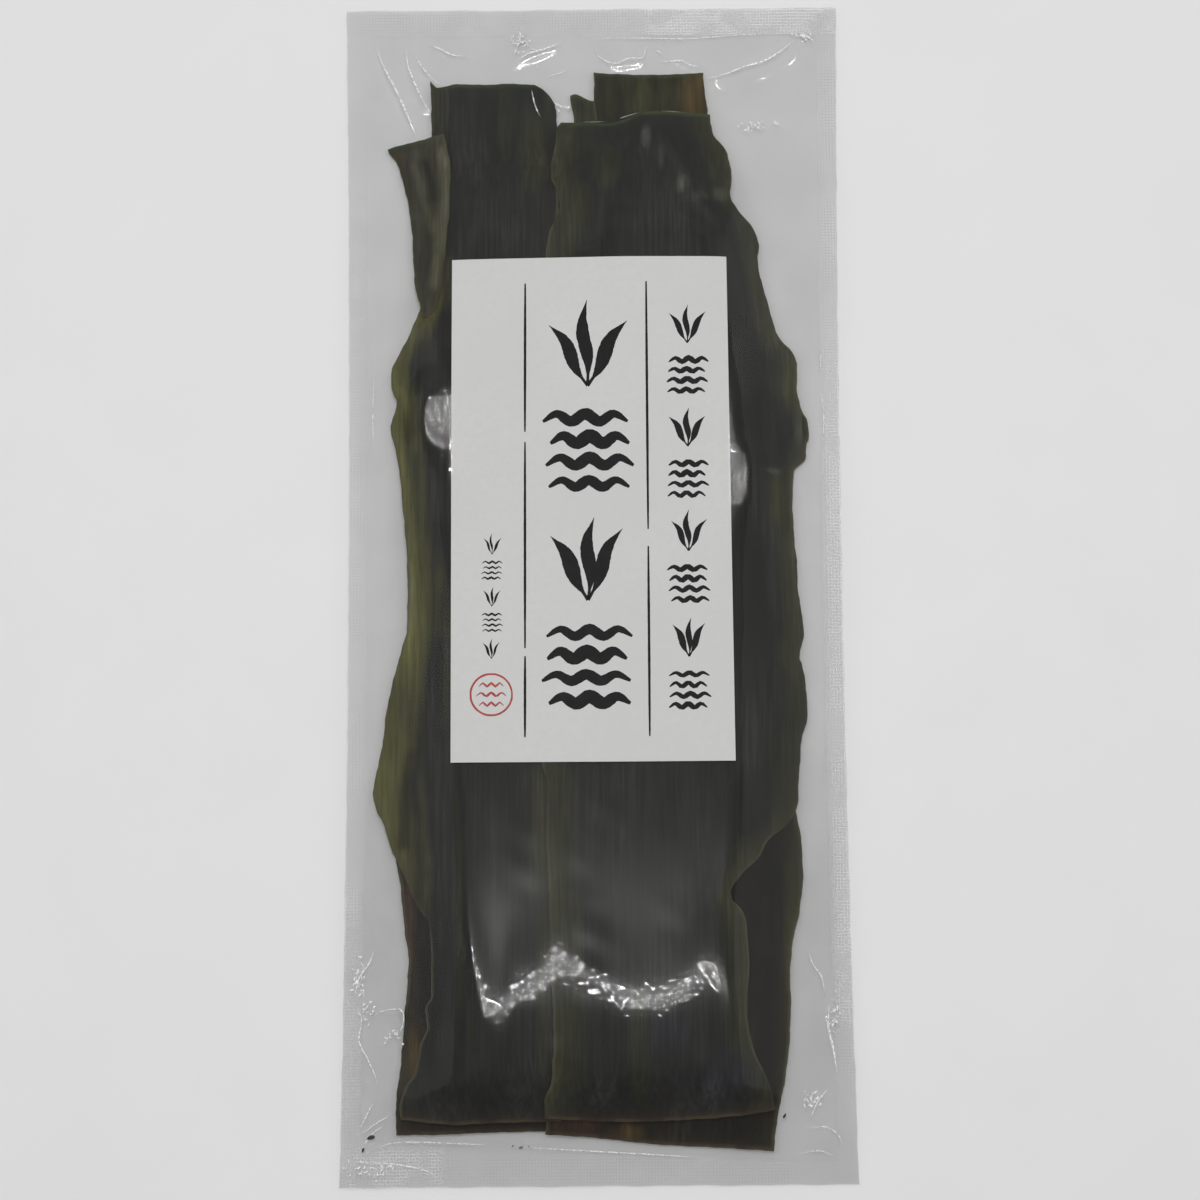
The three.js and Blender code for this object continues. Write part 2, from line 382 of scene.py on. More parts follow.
def leaves():
    """Every sheet of kelp, from the table up."""
    return [
        Leaf(
            "kelp_sheet_lowest", seed=3, ragged=0.4, thickness=1.7,
            left=[(-152, -46), (-90, -50), (-20, -48), (25, -54), (65, -56), (90, -48), (128, -44)],
            right=[(-152, 45), (-80, 50), (0, 50), (30, 52), (60, 50), (128, 40)],
            bottom=[(-60, -153), (0, -151), (60, -154)],
            top=[(-60, 126), (0, 129), (60, 127)],
        ),
        Leaf(
            "kelp_sheet_second", seed=17, ragged=0.4, thickness=1.6,
            left=[(-156, -44), (-100, -47), (0, -50), (35, -55), (62, -55), (90, -47), (134, -42)],
            right=[(-156, 48), (-60, 46), (20, 52), (45, 51), (90, 46), (134, 38)],
            bottom=[(-60, -157), (0, -156), (60, -155)],
            top=[(-60, 133), (0, 134), (60, 132)],
        ),
        Leaf(
            "kelp_sheet_third", seed=23, ragged=0.4, thickness=1.9,
            left=[(-154, -47), (-90, -45), (0, -49), (30, -54), (66, -55), (90, -47), (124, -41)],
            right=[(-154, 44), (-60, 49), (15, 50), (40, 52), (70, 49), (124, 41)],
            bottom=[(-60, -155), (0, -154), (60, -153)],
            top=[(-60, 122), (0, 124), (60, 123)],
        ),
        Leaf(
            "kelp_sheet_rear_left", seed=29, ruffle=0.3, tone="brown",
            left=[(-165, -59.6), (-158, -59.9), (-145, -58.5), (-128, -57.1), (-114, -56.2), (-105, -57.4),
                (-92, -58.7), (-84, -59.9), (-60, -59), (0, -54), (80, -52)],
            right=[(-165, -8), (80, -6)],
            bottom=[(-60, -165.2), (-49, -165.2), (-33, -164.6), (-8, -164.2)],
            top=[(-60, 78), (-6, 82)],
            folds=[
                ([(-57, -127), (-52, -132), (-50, -141), (-53, -148)], 0.5, 1.6),
            ],
        ),
        Leaf(
            "kelp_sheet_rear_right", seed=41, sunk=3.0, margin_width=9.0, tone="olive_brown",
            left=[(-171, -15.9), (-160, -15.4), (-151, -9), (-142, -6), (0, -4), (100, 0), (158, 0.7)],
            right=[(-171, 51.2), (-163, 52.0), (-158, 53.0), (-150.5, 54.6), (-140.7, 56.1), (-127, 56.9),
                (-119.4, 56.8), (-109, 57.9), (-100, 60.0), (-89.5, 61.2), (-82, 61.0), (-75, 60.2),
                (-60, 57), (0, 54), (100, 42), (137.6, 37.0), (149.5, 35.3), (158.5, 34.5)],
            bottom=[(-16, -164.9), (0, -166.4), (18, -168.4), (35.5, -169.4), (52, -170.6)],
            top=[(0, 158.8), (18, 158.0), (35, 158.5)],
        ),
        Leaf(
            "kelp_offcut", seed=53, sunk=3.0, thickness=1.1, ragged=0.1,
            left=[(125, -6), (134, -5.6), (144, -5.6), (151.4, -6.8), (152, -6.0)],
            right=[(125, 4), (144, 1.5), (149.4, 0.9), (152, 0.5)],
            bottom=[(-7, 126), (4, 126)],
            top=[(-6.8, 151.4), (-5.4, 152.0), (-1.2, 150.1), (0.9, 149.4)],
        ),
        Leaf(
            "kelp_sheet_front_left", seed=67, sunk=6.0, thickness=1.8, tone="olive", plain_right=True,
            pale_span=(-85, 100), ruffle=0.45, margin_width=13.0,
            left=[(-161, -57.6), (-158, -58.4), (-151, -56.4), (-148, -54.1), (-137.6, -51.5),
                (-133.8, -49.8), (-128, -50.4), (-125.7, -48.8), (-117.5, -48.6), (-104, -49.4),
                (-99.6, -52.3), (-92.2, -56.0), (-86, -58.6), (-80.6, -61.4), (-74.7, -63.0), (-69, -65.9),
                (-65.1, -66.5), (-60.4, -65.9), (-51.4, -63.9), (-39.4, -62.4), (-29.5, -60.1),
                (-22, -57.9), (-15.9, -56.2), (-6.2, -56.0), (5.3, -56.3), (20.6, -57.5), (33, -58.8),
                (42.2, -60.9), (45.3, -61.6), (50.9, -60.3), (53.5, -59.4), (57, -60.9), (62.4, -61.6),
                (68.6, -58.9), (75.7, -55.0), (85, -52), (120, -49.6), (138, -49.4), (155.8, -49.8)],
            right=[(-161, -11.2), (0, -12), (130, -10.5), (142.4, -10.9), (146.6, -11.1), (150.4, -13.2),
                (153.4, -16.3), (156, -22)],
            bottom=[(-58, -160.6), (-41.5, -162.0), (-29, -161.5), (-12, -161.2)],
            top=[(-50.2, 155.6), (-47.8, 153.2), (-41, 154.3), (-33, 154.1), (-25.5, 154.4), (-12, 153.6)],
            folds=[
                ([(-54.6, -50), (-57, -66), (-57.6, -84)], -0.55, 2.6),
                ([(-54.4, -52), (-51, -68), (-48.5, -90)], 0.45, 2.0),
                ([(-58.7, -89.5), (-55.1, -97.5), (-50.2, -104)], 0.5, 1.6),
                ([(-57, 36), (-54, 10), (-55, -12), (-58, -30)], 0.35, 2.2),
                ([(-60, 62), (-55, 50), (-53, 36)], 0.4, 2.0),
            ],
        ),
        Leaf(
            "kelp_sheet_front_right", seed=79, sunk=6.0, thickness=1.8, ruffle=0.35, margin_width=11.0,
            left=[(-160.4, -15.8), (-155.2, -15.8), (-149.5, -13.7), (-136, -13.0), (-120.7, -13.5),
                (-105.8, -13.8), (-90, -14.3), (-77, -14.8), (-63.5, -14.5), (-56, -16.3), (40, -15.5),
                (98.7, -14.3), (104.1, -13.4), (111, -10.8), (114.8, -10.0), (117.5, -10.6), (123, -12.7),
                (134, -11.6), (139.9, -10.8), (141.8, -9.6)],
            right=[(-158.3, 51.6), (-151.4, 49.8), (-145.3, 47.0), (-140, 44.7), (-129.3, 43.4),
                (-116.7, 44.2), (-106.2, 43.7), (-100.4, 42.4), (-97.5, 39.5), (-95.3, 39.2), (-90, 42.5),
                (-84.7, 47.9), (-80, 50.2), (-76, 55.5), (-71.5, 58.8), (-69.3, 59.5), (-61.3, 60.1),
                (-49, 61.3), (-45.3, 62.6), (-40, 63.2), (-34.6, 62.8), (-26.8, 61.7), (-25.1, 60.9),
                (-21.9, 61.5), (-17.1, 62.5), (-12.5, 62.0), (-4.6, 60.9), (3.6, 60.7), (11.8, 60.0),
                (20.1, 59.7), (28.3, 59.9), (32.1, 60.5), (35.9, 64.0), (39.2, 64.1), (43.3, 65.2),
                (47.2, 64.7), (51.1, 62.8), (58.4, 61.7), (64.3, 61.8), (69, 60.5), (71.5, 57.8),
                (75, 55.6), (82.3, 53.6), (89.7, 51.5), (98, 50.1), (101.4, 50.7), (104.2, 50.4),
                (108.8, 48.0), (113.1, 43.9), (116.9, 41.8), (123.6, 42.5), (130.3, 41.7), (134.7, 39.2),
                (137.6, 36.9), (143.6, 36.3)],
            bottom=[(-16, -160.4), (10, -161.5), (26.6, -161.0), (41, -160.0), (52, -158.4)],
            top=[(-11, 140.0), (-9.5, 141.6), (6.1, 141.0), (10, 142.0), (15.1, 144.4), (21.6, 144.7),
                (30.5, 144.0), (37, 143.7)],
            folds=[
                ([(20, 141), (26, 128), (31, 116), (40, 106)], 0.45, 2.2),
                ([(33, 141), (36, 128), (40, 118)], 0.3, 1.6),
                ([(52, 60), (54, 30), (53, -10), (55, -50)], 0.3, 2.4),
            ],
        ),
        Leaf(
            "kelp_folded_margin", seed=97, sunk=5.5, thickness=1.0, ruffle=0.3, margin_width=3.0,
            tone="pale",
            left=[(79, -51.6), (83.6, -52.8), (90, -54.3), (98, -54.9), (105.8, -55.3), (113.7, -56.2),
                (121.7, -57.8), (129.7, -60.3), (133.9, -63.1), (138, -63.6)],
            right=[(79, -50.5), (81.4, -48.2), (91, -45.6), (104, -44.7), (115, -43.6), (126.4, -43.6),
                (138, -45.6)],
            bottom=[(-54, 79.2), (-50, 79.2)],
            top=[(-63.4, 133.6), (-60, 134.9), (-55, 136.0), (-45.6, 138.2)],
            folds=[
                ([(-46.9, 139), (-45.4, 128.7), (-45.2, 119.8), (-46.4, 110.9),
                  (-47.0, 100), (-49, 86)], 0.8, 2.0),
                ([(-56, 133), (-53.1, 124.3), (-50.4, 114.4), (-48.3, 106)], 0.6, 1.7),
                ([(-52, 133), (-49.4, 124), (-48.6, 116)], -0.5, 2.0),
            ],
        ),
    ]


# Mesh helpers


def deselect():
    for other in bpy.context.selected_objects:
        other.select_set(False)


def make_active(piece):
    deselect()
    piece.select_set(True)
    bpy.context.view_layer.objects.active = piece


def points_of(piece):
    flat = np.empty(len(piece.data.vertices) * 3)
    piece.data.vertices.foreach_get("co", flat)
    return flat.reshape(-1, 3)


def set_points(piece, x, y, z):
    piece.data.vertices.foreach_set("co", (np.column_stack([x, y, z]) * MM).ravel())
    piece.data.update()


def grid_piece(name, columns, rows, place):
    """A grid whose points go where place(u, v) says, with u and v from 0 to 1."""
    deselect()
    bpy.ops.mesh.primitive_grid_add(x_subdivisions=columns, y_subdivisions=rows, size=1)
    piece = bpy.context.object
    piece.name = name
    piece.data.name = name
    flat = points_of(piece)
    set_points(piece, *place(flat[:, 0] + 0.5, flat[:, 1] + 0.5))
    return piece


def write_attributes(piece, **fields):
    for name, values in fields.items():
        layer = piece.data.attributes.new(name, "FLOAT", "POINT")
        layer.data.foreach_set("value", np.asarray(values, np.float32))


def apply_modifier(piece, kind, **settings):
    make_active(piece)
    modifier = piece.modifiers.new(kind.title(), kind)
    for setting, value in settings.items():
        setattr(modifier, setting, value)
    bpy.ops.object.modifier_apply(modifier=modifier.name)


def join(name, pieces):
    make_active(pieces[0])
    for piece in pieces:
        piece.select_set(True)
    bpy.ops.object.join()
    joined = bpy.context.object
    joined.name = name
    joined.data.name = name
    return joined


def smooth(piece, degrees=40):
    make_active(piece)
    bpy.ops.object.shade_smooth_by_angle(angle=math.radians(degrees))


def finish_piece(piece, material, replaces=None):
    piece.data.materials.clear()
    piece.data.materials.append(material)
    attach(piece, "root")
    if replaces:
        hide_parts(replaces)


# Material helpers


class Nodes:
    """Adds nodes to a tree and links them, from left to right."""

    def __init__(self, tree):
        self.tree = tree

    def add(self, kind, settings=None, **inputs):
        node = self.tree.nodes.new(kind)
        for name, value in (settings or {}).items():
            setattr(node, name, value)
        for name, value in inputs.items():
            self.feed(node.inputs[name.replace("_", " ")], value)
        return node

    def feed(self, socket, value):
        if isinstance(value, bpy.types.NodeSocket):
            self.tree.links.new(value, socket)
        else:
            socket.default_value = value

    def math(self, operation, a, b=0.0, clamp=False):
        node = self.add("ShaderNodeMath", {"operation": operation, "use_clamp": clamp})
        self.feed(node.inputs[0], a)
        self.feed(node.inputs[1], b)
        return node.outputs[0]

    def times(self, *values):
        return reduce(lambda a, b: self.math("MULTIPLY", a, b), values)

    def plus(self, *values):
        return reduce(lambda a, b: self.math("ADD", a, b), values)

    def blend(self, factor, a, b, mode="MIX"):
        node = self.add("ShaderNodeMix", {"data_type": "RGBA", "blend_type": mode})
        self.feed(node.inputs[0], factor)
        self.feed(node.inputs[6], a)
        self.feed(node.inputs[7], b)
        return node.outputs[2]

    def noise(self, vector, scale, detail=3.0, roughness=0.5):
        node = self.add("ShaderNodeTexNoise", Vector=vector, Scale=scale, Detail=detail, Roughness=roughness)
        return node.outputs["Fac"]

    def stretch(self, vector, scale):
        return self.add("ShaderNodeMapping", Vector=vector, Scale=scale).outputs["Vector"]

    def steps(self, value, low, high, bottom=0.0, top=1.0):
        """Rises smoothly from bottom to top while the value goes from low to high."""
        node = self.add("ShaderNodeMapRange", {"interpolation_type": "SMOOTHSTEP"}, Value=value,
                        From_Min=low, From_Max=high, To_Min=bottom, To_Max=top)
        return node.outputs[0]

    def attribute(self, name):
        return self.add("ShaderNodeAttribute", {"attribute_name": name}).outputs["Fac"]

    def object_place(self):
        return self.add("ShaderNodeTexCoord").outputs["Object"]


def new_material(name):
    material = bpy.data.materials.new(name)
    material.use_nodes = True
    material.node_tree.nodes.clear()
    return material, Nodes(material.node_tree)


def grey(value):
    return (value, value, value, 1)


def finish_surface(nodes, colour, roughness, height=None, height_mm=0.05, **settings):
    """The Principled shader of a material, with its bump and output."""
    if height is not None:
        bump = nodes.add("ShaderNodeBump", Strength=1.0, Distance=height_mm * MM, Height=height)
        settings["Normal"] = bump.outputs["Normal"]
    shader = nodes.add("ShaderNodeBsdfPrincipled", Base_Color=colour, Roughness=roughness, **settings)
    nodes.add("ShaderNodeOutputMaterial", Surface=shader.outputs["BSDF"])


def leaf_grain_group():
    """Lengthwise fibres, broad bands and streaky bloom of a dried leaf."""
    name = "leaf_grain"
    if name in bpy.data.node_groups:
        return bpy.data.node_groups[name]
    tree = bpy.data.node_groups.new(name, "ShaderNodeTree")
    for socket in ("Place", "Shift"):
        tree.interface.new_socket(socket, in_out="INPUT", socket_type="NodeSocketVector")
    for socket in ("Fibres", "Bands", "Blotches", "Bloom", "Height"):
        tree.interface.new_socket(socket, in_out="OUTPUT", socket_type="NodeSocketFloat")
    nodes = Nodes(tree)
    given = nodes.add("NodeGroupInput").outputs
    place = nodes.add("ShaderNodeVectorMath", {"operation": "ADD"})
    nodes.feed(place.inputs[0], given["Place"])
    nodes.feed(place.inputs[1], given["Shift"])
    place = place.outputs[0]
    fibres = nodes.noise(nodes.stretch(place, (1, 0.035, 1)), 1100, detail=2, roughness=0.6)
    bands = nodes.noise(nodes.stretch(place, (1, 0.09, 1)), 120, detail=2, roughness=0.55)
    blotches = nodes.noise(nodes.stretch(place, (1, 0.45, 1)), 75, detail=3, roughness=0.6)
    pimples = nodes.noise(place, 420, detail=1)
    nodes.add(
        "NodeGroupOutput",
        Fibres=nodes.steps(fibres, 0.32, 0.7),
        Bands=nodes.steps(bands, 0.3, 0.7),
        Blotches=blotches,
        Bloom=nodes.times(nodes.steps(blotches, 0.5, 0.72), nodes.steps(fibres, 0.4, 0.75)),
        Height=nodes.plus(nodes.times(fibres, 0.5), nodes.times(pimples, 0.5)),
    )
    return tree


LEAF_TONES = {
    "dark": {"centre": (0.0165, 0.0163, 0.0138), "margin": (0.038, 0.038, 0.020), "reach": 0.95},
    "olive": {"centre": (0.0170, 0.0170, 0.0145), "margin": (0.104, 0.101, 0.034), "reach": 0.95},
    "brown": {"centre": (0.0125, 0.0100, 0.0065), "margin": (0.020, 0.016, 0.0085), "reach": 0.8},
    "olive_brown": {"centre": (0.0105, 0.0095, 0.0062), "margin": (0.019, 0.0165, 0.0080), "reach": 0.9},
    "pale": {"centre": (0.046, 0.044, 0.029), "margin": (0.040, 0.039, 0.021), "reach": 0.7},
}

# Patches on the sheets, by kind: across, up, half width, half height. Most are stains; the dark kind is
# painted shade in hollows along folds and margins, and the pale kind lightens spots along folds and edges.
STAINS = {
    "kelp_sheet_rear_right": {
        "green": [(14.0, 152.0, 19.0, 12.0), (57.5, -112.0, 2.4, 34.0)],
        "warm": [(34.5, 152.0, 8.0, 16.0), (7.5, -165.0, 6.0, 3.5)],
        "red": [(-6.0, -161.5, 10.0, 4.5)],
    },
    "kelp_sheet_rear_left": {
        "green": [(-58.0, -150.0, 2.4, 16.0)],
        "red": [(-56.5, -104.0, 2.2, 20.0)],
        "warm": [(-54.5, -146.0, 4.0, 14.0)],
    },
    "kelp_sheet_front_right": {
        "violet": [(36.0, -148.0, 15.0, 9.0), (22.0, -136.0, 14.0, 8.0)],
        "green": [(-4.2, 113.0, 2.6, 11.0), (4.0, 128.0, 5.0, 8.0), (60.0, 58.0, 3.6, 8.0),
            (54.0, 24.0, 4.2, 10.0), (58.0, -22.0, 3.0, 9.0), (12.0, -140.0, 3.5, 20.0)],
        "dark": [(14.4, -60.5, 2.6, 4.0), (47.0, 20.0, 4.0, 60.0)],
        "pale": [(16.5, 138.0, 2.0, 4.5), (21.4, 131.0, 1.4, 4.5), (27.1, 121.0, 1.6, 3.2),
            (32.8, 117.4, 2.4, 1.8), (38.6, 118.4, 2.6, 2.4), (62.4, 47.0, 1.4, 8.0), (53.5, 32.0, 3.6, 1.0)],
    },
    "kelp_sheet_front_left": {
        "green": [(-54.3, 46.0, 3.6, 15.0), (-60.0, -58.0, 4.2, 26.0), (-53.0, 10.0, 2.4, 30.0),
            (-18.0, 135.0, 5.0, 18.0), (-16.0, -100.0, 2.5, 50.0)],
        "red": [(-56.6, -67.0, 0.9, 13.0)],
        "dark": [(-52.6, -80.0, 3.6, 16.0), (-49.5, -128.0, 4.5, 30.0), (-44.5, 90.0, 3.0, 40.0)],
        "pale": [(-56.0, -4.0, 1.6, 15.0), (-57.5, -41.0, 1.4, 9.0)],
    },
    "kelp_folded_margin": {
        "pale": [(-54.8, 133.6, 2.4, 2.6)],
        "warm": [(-60.0, 132.0, 3.0, 3.0)],
        "green": [(-48.6, 106.0, 2.0, 22.0)],
    },
}
STAIN_LOOKS = {
    "warm": ((0.105, 0.066, 0.018), 0.75),
    "red": ((0.052, 0.024, 0.015), 0.7),
    "green": ((0.060, 0.061, 0.018), 0.42),
    "pale": ((0.105, 0.105, 0.085), 0.5),
    "violet": ((0.025, 0.024, 0.030), 0.7),
    # Painted shade in hollows along folds and margins
    "dark": ((0.007, 0.0065, 0.0055), 0.75),
}

# Colour that the grain's bloom, the bare rim and the two cut ends take on
BLOOM_COLOUR = (0.15, 0.15, 0.13, 1)
RIM_COLOUR = (0.10, 0.090, 0.050, 1)
CUT_LOOKS = {"top_cut": (0.7, (0.045, 0.072, 0.020, 1)), "bottom_cut": (0.5, (0.06, 0.034, 0.020, 1))}


def leaf_material(leaf):
    tone = LEAF_TONES[leaf.tone]
    dice = np.random.default_rng(leaf.seed + 200)
    material, nodes = new_material(leaf.name)
    place = nodes.object_place()
    shift = tuple(dice.uniform(-2, 2, 3))
    grain = nodes.add("ShaderNodeGroup", {"node_tree": leaf_grain_group()}, Place=place, Shift=shift).outputs
    bands = grain["Bands"]
    uneven = nodes.times(nodes.math("SUBTRACT", bands, 0.5), 0.6)
    centre_share = nodes.steps(nodes.plus(nodes.attribute("margin"), uneven), 0.15, tone["reach"])
    colour = nodes.blend(centre_share, (*tone["margin"], 1), (*tone["centre"], 1))
    patchy = nodes.steps(bands, 0.0, 0.8, 0.45, 1.0)
    for kind, (stain, strength) in STAIN_LOOKS.items():
        colour = nodes.blend(nodes.times(nodes.attribute(kind), patchy, strength), colour, (*stain, 1))
    relief = nodes.attribute("relief")
    # The grain's fibres, bands and blotches, with painted shade in the folds' grooves and a painted highlight
    # on their ridges, darkened or lightened by the fold height
    grain_and_fold_shading = nodes.times(
        nodes.steps(grain["Fibres"], 0.0, 1.0, 0.84, 1.18),
        nodes.steps(bands, 0.0, 1.0, 0.80, 1.24),
        nodes.steps(grain["Blotches"], 0.3, 0.7, 0.80, 1.25),
        nodes.steps(relief, -0.6, 0.0, 0.35, 1.0),
        nodes.steps(relief, 0.1, 0.9, 1.0, 2.5),
    )
    shade = nodes.add("ShaderNodeCombineColor", Red=grain_and_fold_shading, Green=grain_and_fold_shading, Blue=grain_and_fold_shading)
    colour = nodes.blend(1.0, colour, shade.outputs[0], "MULTIPLY")
    colour = nodes.blend(nodes.times(grain["Bloom"], 0.11), colour, BLOOM_COLOUR)
    rim = nodes.times(nodes.attribute("rim"), nodes.steps(bands, 0.25, 0.75, 0.15, 0.8))
    colour = nodes.blend(rim, colour, RIM_COLOUR)
    for cut, (strength, tint) in CUT_LOOKS.items():
        colour = nodes.blend(nodes.times(nodes.attribute(cut), strength), colour, tint)
    roughness = nodes.steps(bands, 0.0, 1.0, 0.5, 0.66)
    finish_surface(nodes, colour, roughness, grain["Height"], 0.16, IOR=1.45, Specular_IOR_Level=0.15)
    return material


def settle_leaf(pile, leaf):
    """Puts one leaf on the pile's raster and gives back the height of its underside."""
    inside = leaf.inside(pile.across, pile.along)
    mask = inside > 0
    bed = pile.bed_for(mask, 24)
    unsupported = np.clip((bed - pile.top) / 3, 0, 1)
    bed = bed - leaf.droop * unsupported * np.exp(-np.clip(inside, 0, None) / 4)
    bed = bed + leaf.waves(pile.across, pile.along, inside)
    bed = bed + np.maximum(leaf.relief(pile.across, pile.along) * ease(inside, 0.0, 2.0), -0.3)
    bed = np.where(mask, np.maximum(bed, pile.top + LEAF_GAP), 0)
    bed = np.where(mask, bed, soften_inside(bed, mask, 4))
    pile.top = np.where(mask, bed + leaf.thickness * leaf.share_of_body(inside), pile.top)
    pile.covered |= mask
    return bed


def lay_leaf(leaf):
    """Lays one leaf on the pile and gives back its piece."""
    pile = MADE["pile"]
    bed = settle_leaf(pile, leaf)

    def place(u, v):
        x, y = leaf.place(u, v)
        return x, y, pile.sample(bed, x, y)

    span = float(leaf.right(0.0) - leaf.left(0.0))
    reach = float(leaf.top(0.0) - leaf.bottom(0.0))
    piece = grid_piece(leaf.name, max(14, round(span / 1.15)), round(reach / 1.3), place)
    points = points_of(piece) / MM
    x, y = points[:, 0], points[:, 1]
    inside = np.clip(leaf.inside(x, y), 0, None)
    bottom, top = leaf.ends(x)
    write_attributes(
        piece,
        margin=leaf.from_margin(x, y),
        relief=leaf.relief(x, y),
        rim=np.exp(-((inside / 0.45) ** 2)),
        **{kind: oval_mask(x, y, STAINS.get(leaf.name, {}).get(kind, ()), 0.2, 1.25) for kind in STAIN_LOOKS},
        top_cut=np.exp(-np.clip(top - y, 0, None) / 0.7),
        bottom_cut=np.exp(-np.clip(y - bottom, 0, None) / 1.6),
    )
    body = piece.vertex_groups.new(name="body")
    for index, weight in enumerate(leaf.share_of_body(inside)):
        body.add([index], float(weight), "REPLACE")
    apply_modifier(piece, "SOLIDIFY", thickness=leaf.thickness * MM, offset=1.0, vertex_group="body")
    piece.vertex_groups.clear()
    smooth(piece)
    return piece


class KelpSettings(bpy.types.PropertyGroup):
    leaf_thickness: FloatProperty(
        name="Leaf thickness", description="Share of each leaf's own thickness", default=1.0, min=0.5, max=1.3
    )


class KELP_OT_lay_leaves(bpy.types.Operator):
    """Lays every sheet of dried kelp on the pile, from the table up"""

    bl_idname = "kelp.lay_leaves"
    bl_label = "Lay Kelp Sheets"

    def execute(self, context):
        settings = context.scene.kelp_leaves
        MADE["pile"] = Pile()
        for leaf in leaves():
            leaf.thickness *= settings.leaf_thickness
            piece = lay_leaf(leaf)
            finish_piece(piece, leaf_material(leaf))
        return {"FINISHED"}


# Crumbs that have fallen into the free film at the bottom: place, size, turn
CRUMBS = [
    (-67.1, -165.8, 1.9, 20),
    (-69.4, -169.4, 1.2, 75),
    (-23.0, -169.0, 1.1, 10),
    (-25.4, -168.6, 0.6, 50),
    (-20.6, -168.9, 0.6, 130),
    (54.6, -160.4, 1.3, 60),
]


class KELP_OT_scatter_crumbs(bpy.types.Operator):
    """Drops the few crumbs of leaf that lie loose in the pouch"""

    bl_idname = "kelp.scatter_crumbs"
    bl_label = "Scatter Crumbs"

    def execute(self, context):
        pieces = []
        dice = np.random.default_rng(5)
        for x, y, size, turn in CRUMBS:
            deselect()
            bpy.ops.mesh.primitive_ico_sphere_add(subdivisions=2, radius=size / 2 * MM)
            crumb = bpy.context.object
            points = points_of(crumb) / MM
            points = points * dice.uniform(0.75, 1.15, points.shape) * (1.3, 0.6, 0.28)
            angle = math.radians(turn)
            across = points[:, 0] * math.cos(angle) - points[:, 1] * math.sin(angle)
            along = points[:, 0] * math.sin(angle) + points[:, 1] * math.cos(angle)
            lift = 0.9 + 0.02 * abs(x)
            set_points(crumb, x + across, y + along, lift + points[:, 2])
            pieces.append(crumb)
        crumbs = join("kelp_crumbs", pieces)
        material, nodes = new_material("kelp_crumbs")
        flecks = nodes.noise(nodes.object_place(), 900, detail=3)
        colour = nodes.blend(flecks, (0.016, 0.016, 0.010, 1), (0.05, 0.045, 0.028, 1))
        finish_surface(nodes, colour, 0.6, flecks, 0.1)
        finish_piece(crumbs, material)
        return {"FINISHED"}


# Film


# The line along which light glances off the lower half of the pouch: (across, up)
GLANCE_LINE = [
    (-43, -98), (-38.3, -110.0), (-36.8, -117.0), (-34.3, -124.1), (-31.3, -130.1), (-29.0, -133.0),
    (-27.2, -129.6), (-24.2, -125.2), (-19.2, -122.2), (-15.1, -118.2), (-12.2, -114.2), (-9.0, -116.2),
    (-3.0, -120.3), (3.1, -124.3), (10.1, -127.4), (18.2, -128.2), (25.3, -124.5), (28.8, -120.5),
    (33.4, -118.2), (37.5, -121.6), (40.4, -126.1), (42.9, -129.1), (50, -134),
]

# Level patches of film beside the label, near the far tube's glance: across, up, half width, half height,
# fall across
GLANCE_PATCHES = [
    (-48.8, 48.0, 5.4, 10.0, 0.02),
    (44.4, 29.0, 3.6, 9.0, -0.02),
]

# Soft folds of slack film between the pile and the seals: path, rise, width
FILM_FOLDS = [
    ([(-67.3, 168.7), (-64.8, 162.2), (-54.2, 138.9)], 1.5, 2.4),
    ([(-57.7, 169.6), (-56.4, 158.9), (-49.6, 145.0)], 1.3, 2.2),
    ([(-53.9, 165.3), (-49.6, 158.8), (-46.2, 155.2)], 0.8, 1.8),
    ([(-51.1, 169.8), (-44.0, 166.9), (-37.8, 165.2)], 0.7, 1.8),
    ([(-22.8, 176.4), (-21.6, 168.0), (-23.8, 160.0)], 0.8, 2.0),
    ([(-23.8, 163.5), (-16.0, 166.7), (-8.2, 169.9)], 0.9, 1.8),
    ([(0.8, 166.9), (7.3, 162.2), (15.0, 163.4), (20.0, 168.0)], 0.9, 1.8),
    ([(22.0, 165.5), (28.0, 163.5), (35.5, 159.8)], 0.8, 1.8),
    ([(35.8, 156.6), (44.0, 158.6), (52.3, 162.3), (64.3, 170.2)], 1.5, 2.4),
    ([(46.0, 139.0), (55.1, 143.0), (66.0, 146.0)], 0.8, 3.2),
    ([(-67.5, 100), (-68.0, 78), (-67.4, 55)], 0.7, 1.8),
    ([(66.5, 70), (67.2, 55), (66.4, 40)], 0.7, 1.8),
    ([(-66.1, -114.0), (-70.6, -121.3), (-69.0, -128.7), (-69.6, -134.5), (-65.4, -150.6)], 0.9, 1.8),
    ([(-65.0, -152.6), (-69.6, -162.0)], 0.7, 1.6),
    ([(-58.0, -128.4), (-62.1, -134.5), (-66.0, -128.0)], 0.6, 1.6),
    ([(62.8, -113.4), (66.0, -118.8), (68.6, -126.7), (68.9, -141.3), (69.2, -149.0)], 0.9, 1.8),
    ([(67.8, -152.4), (62.6, -161.1)], 0.8, 1.7),
    ([(60.6, -158.2), (67.8, -164.0), (71.0, -170.8)], 0.7, 2.0),
]
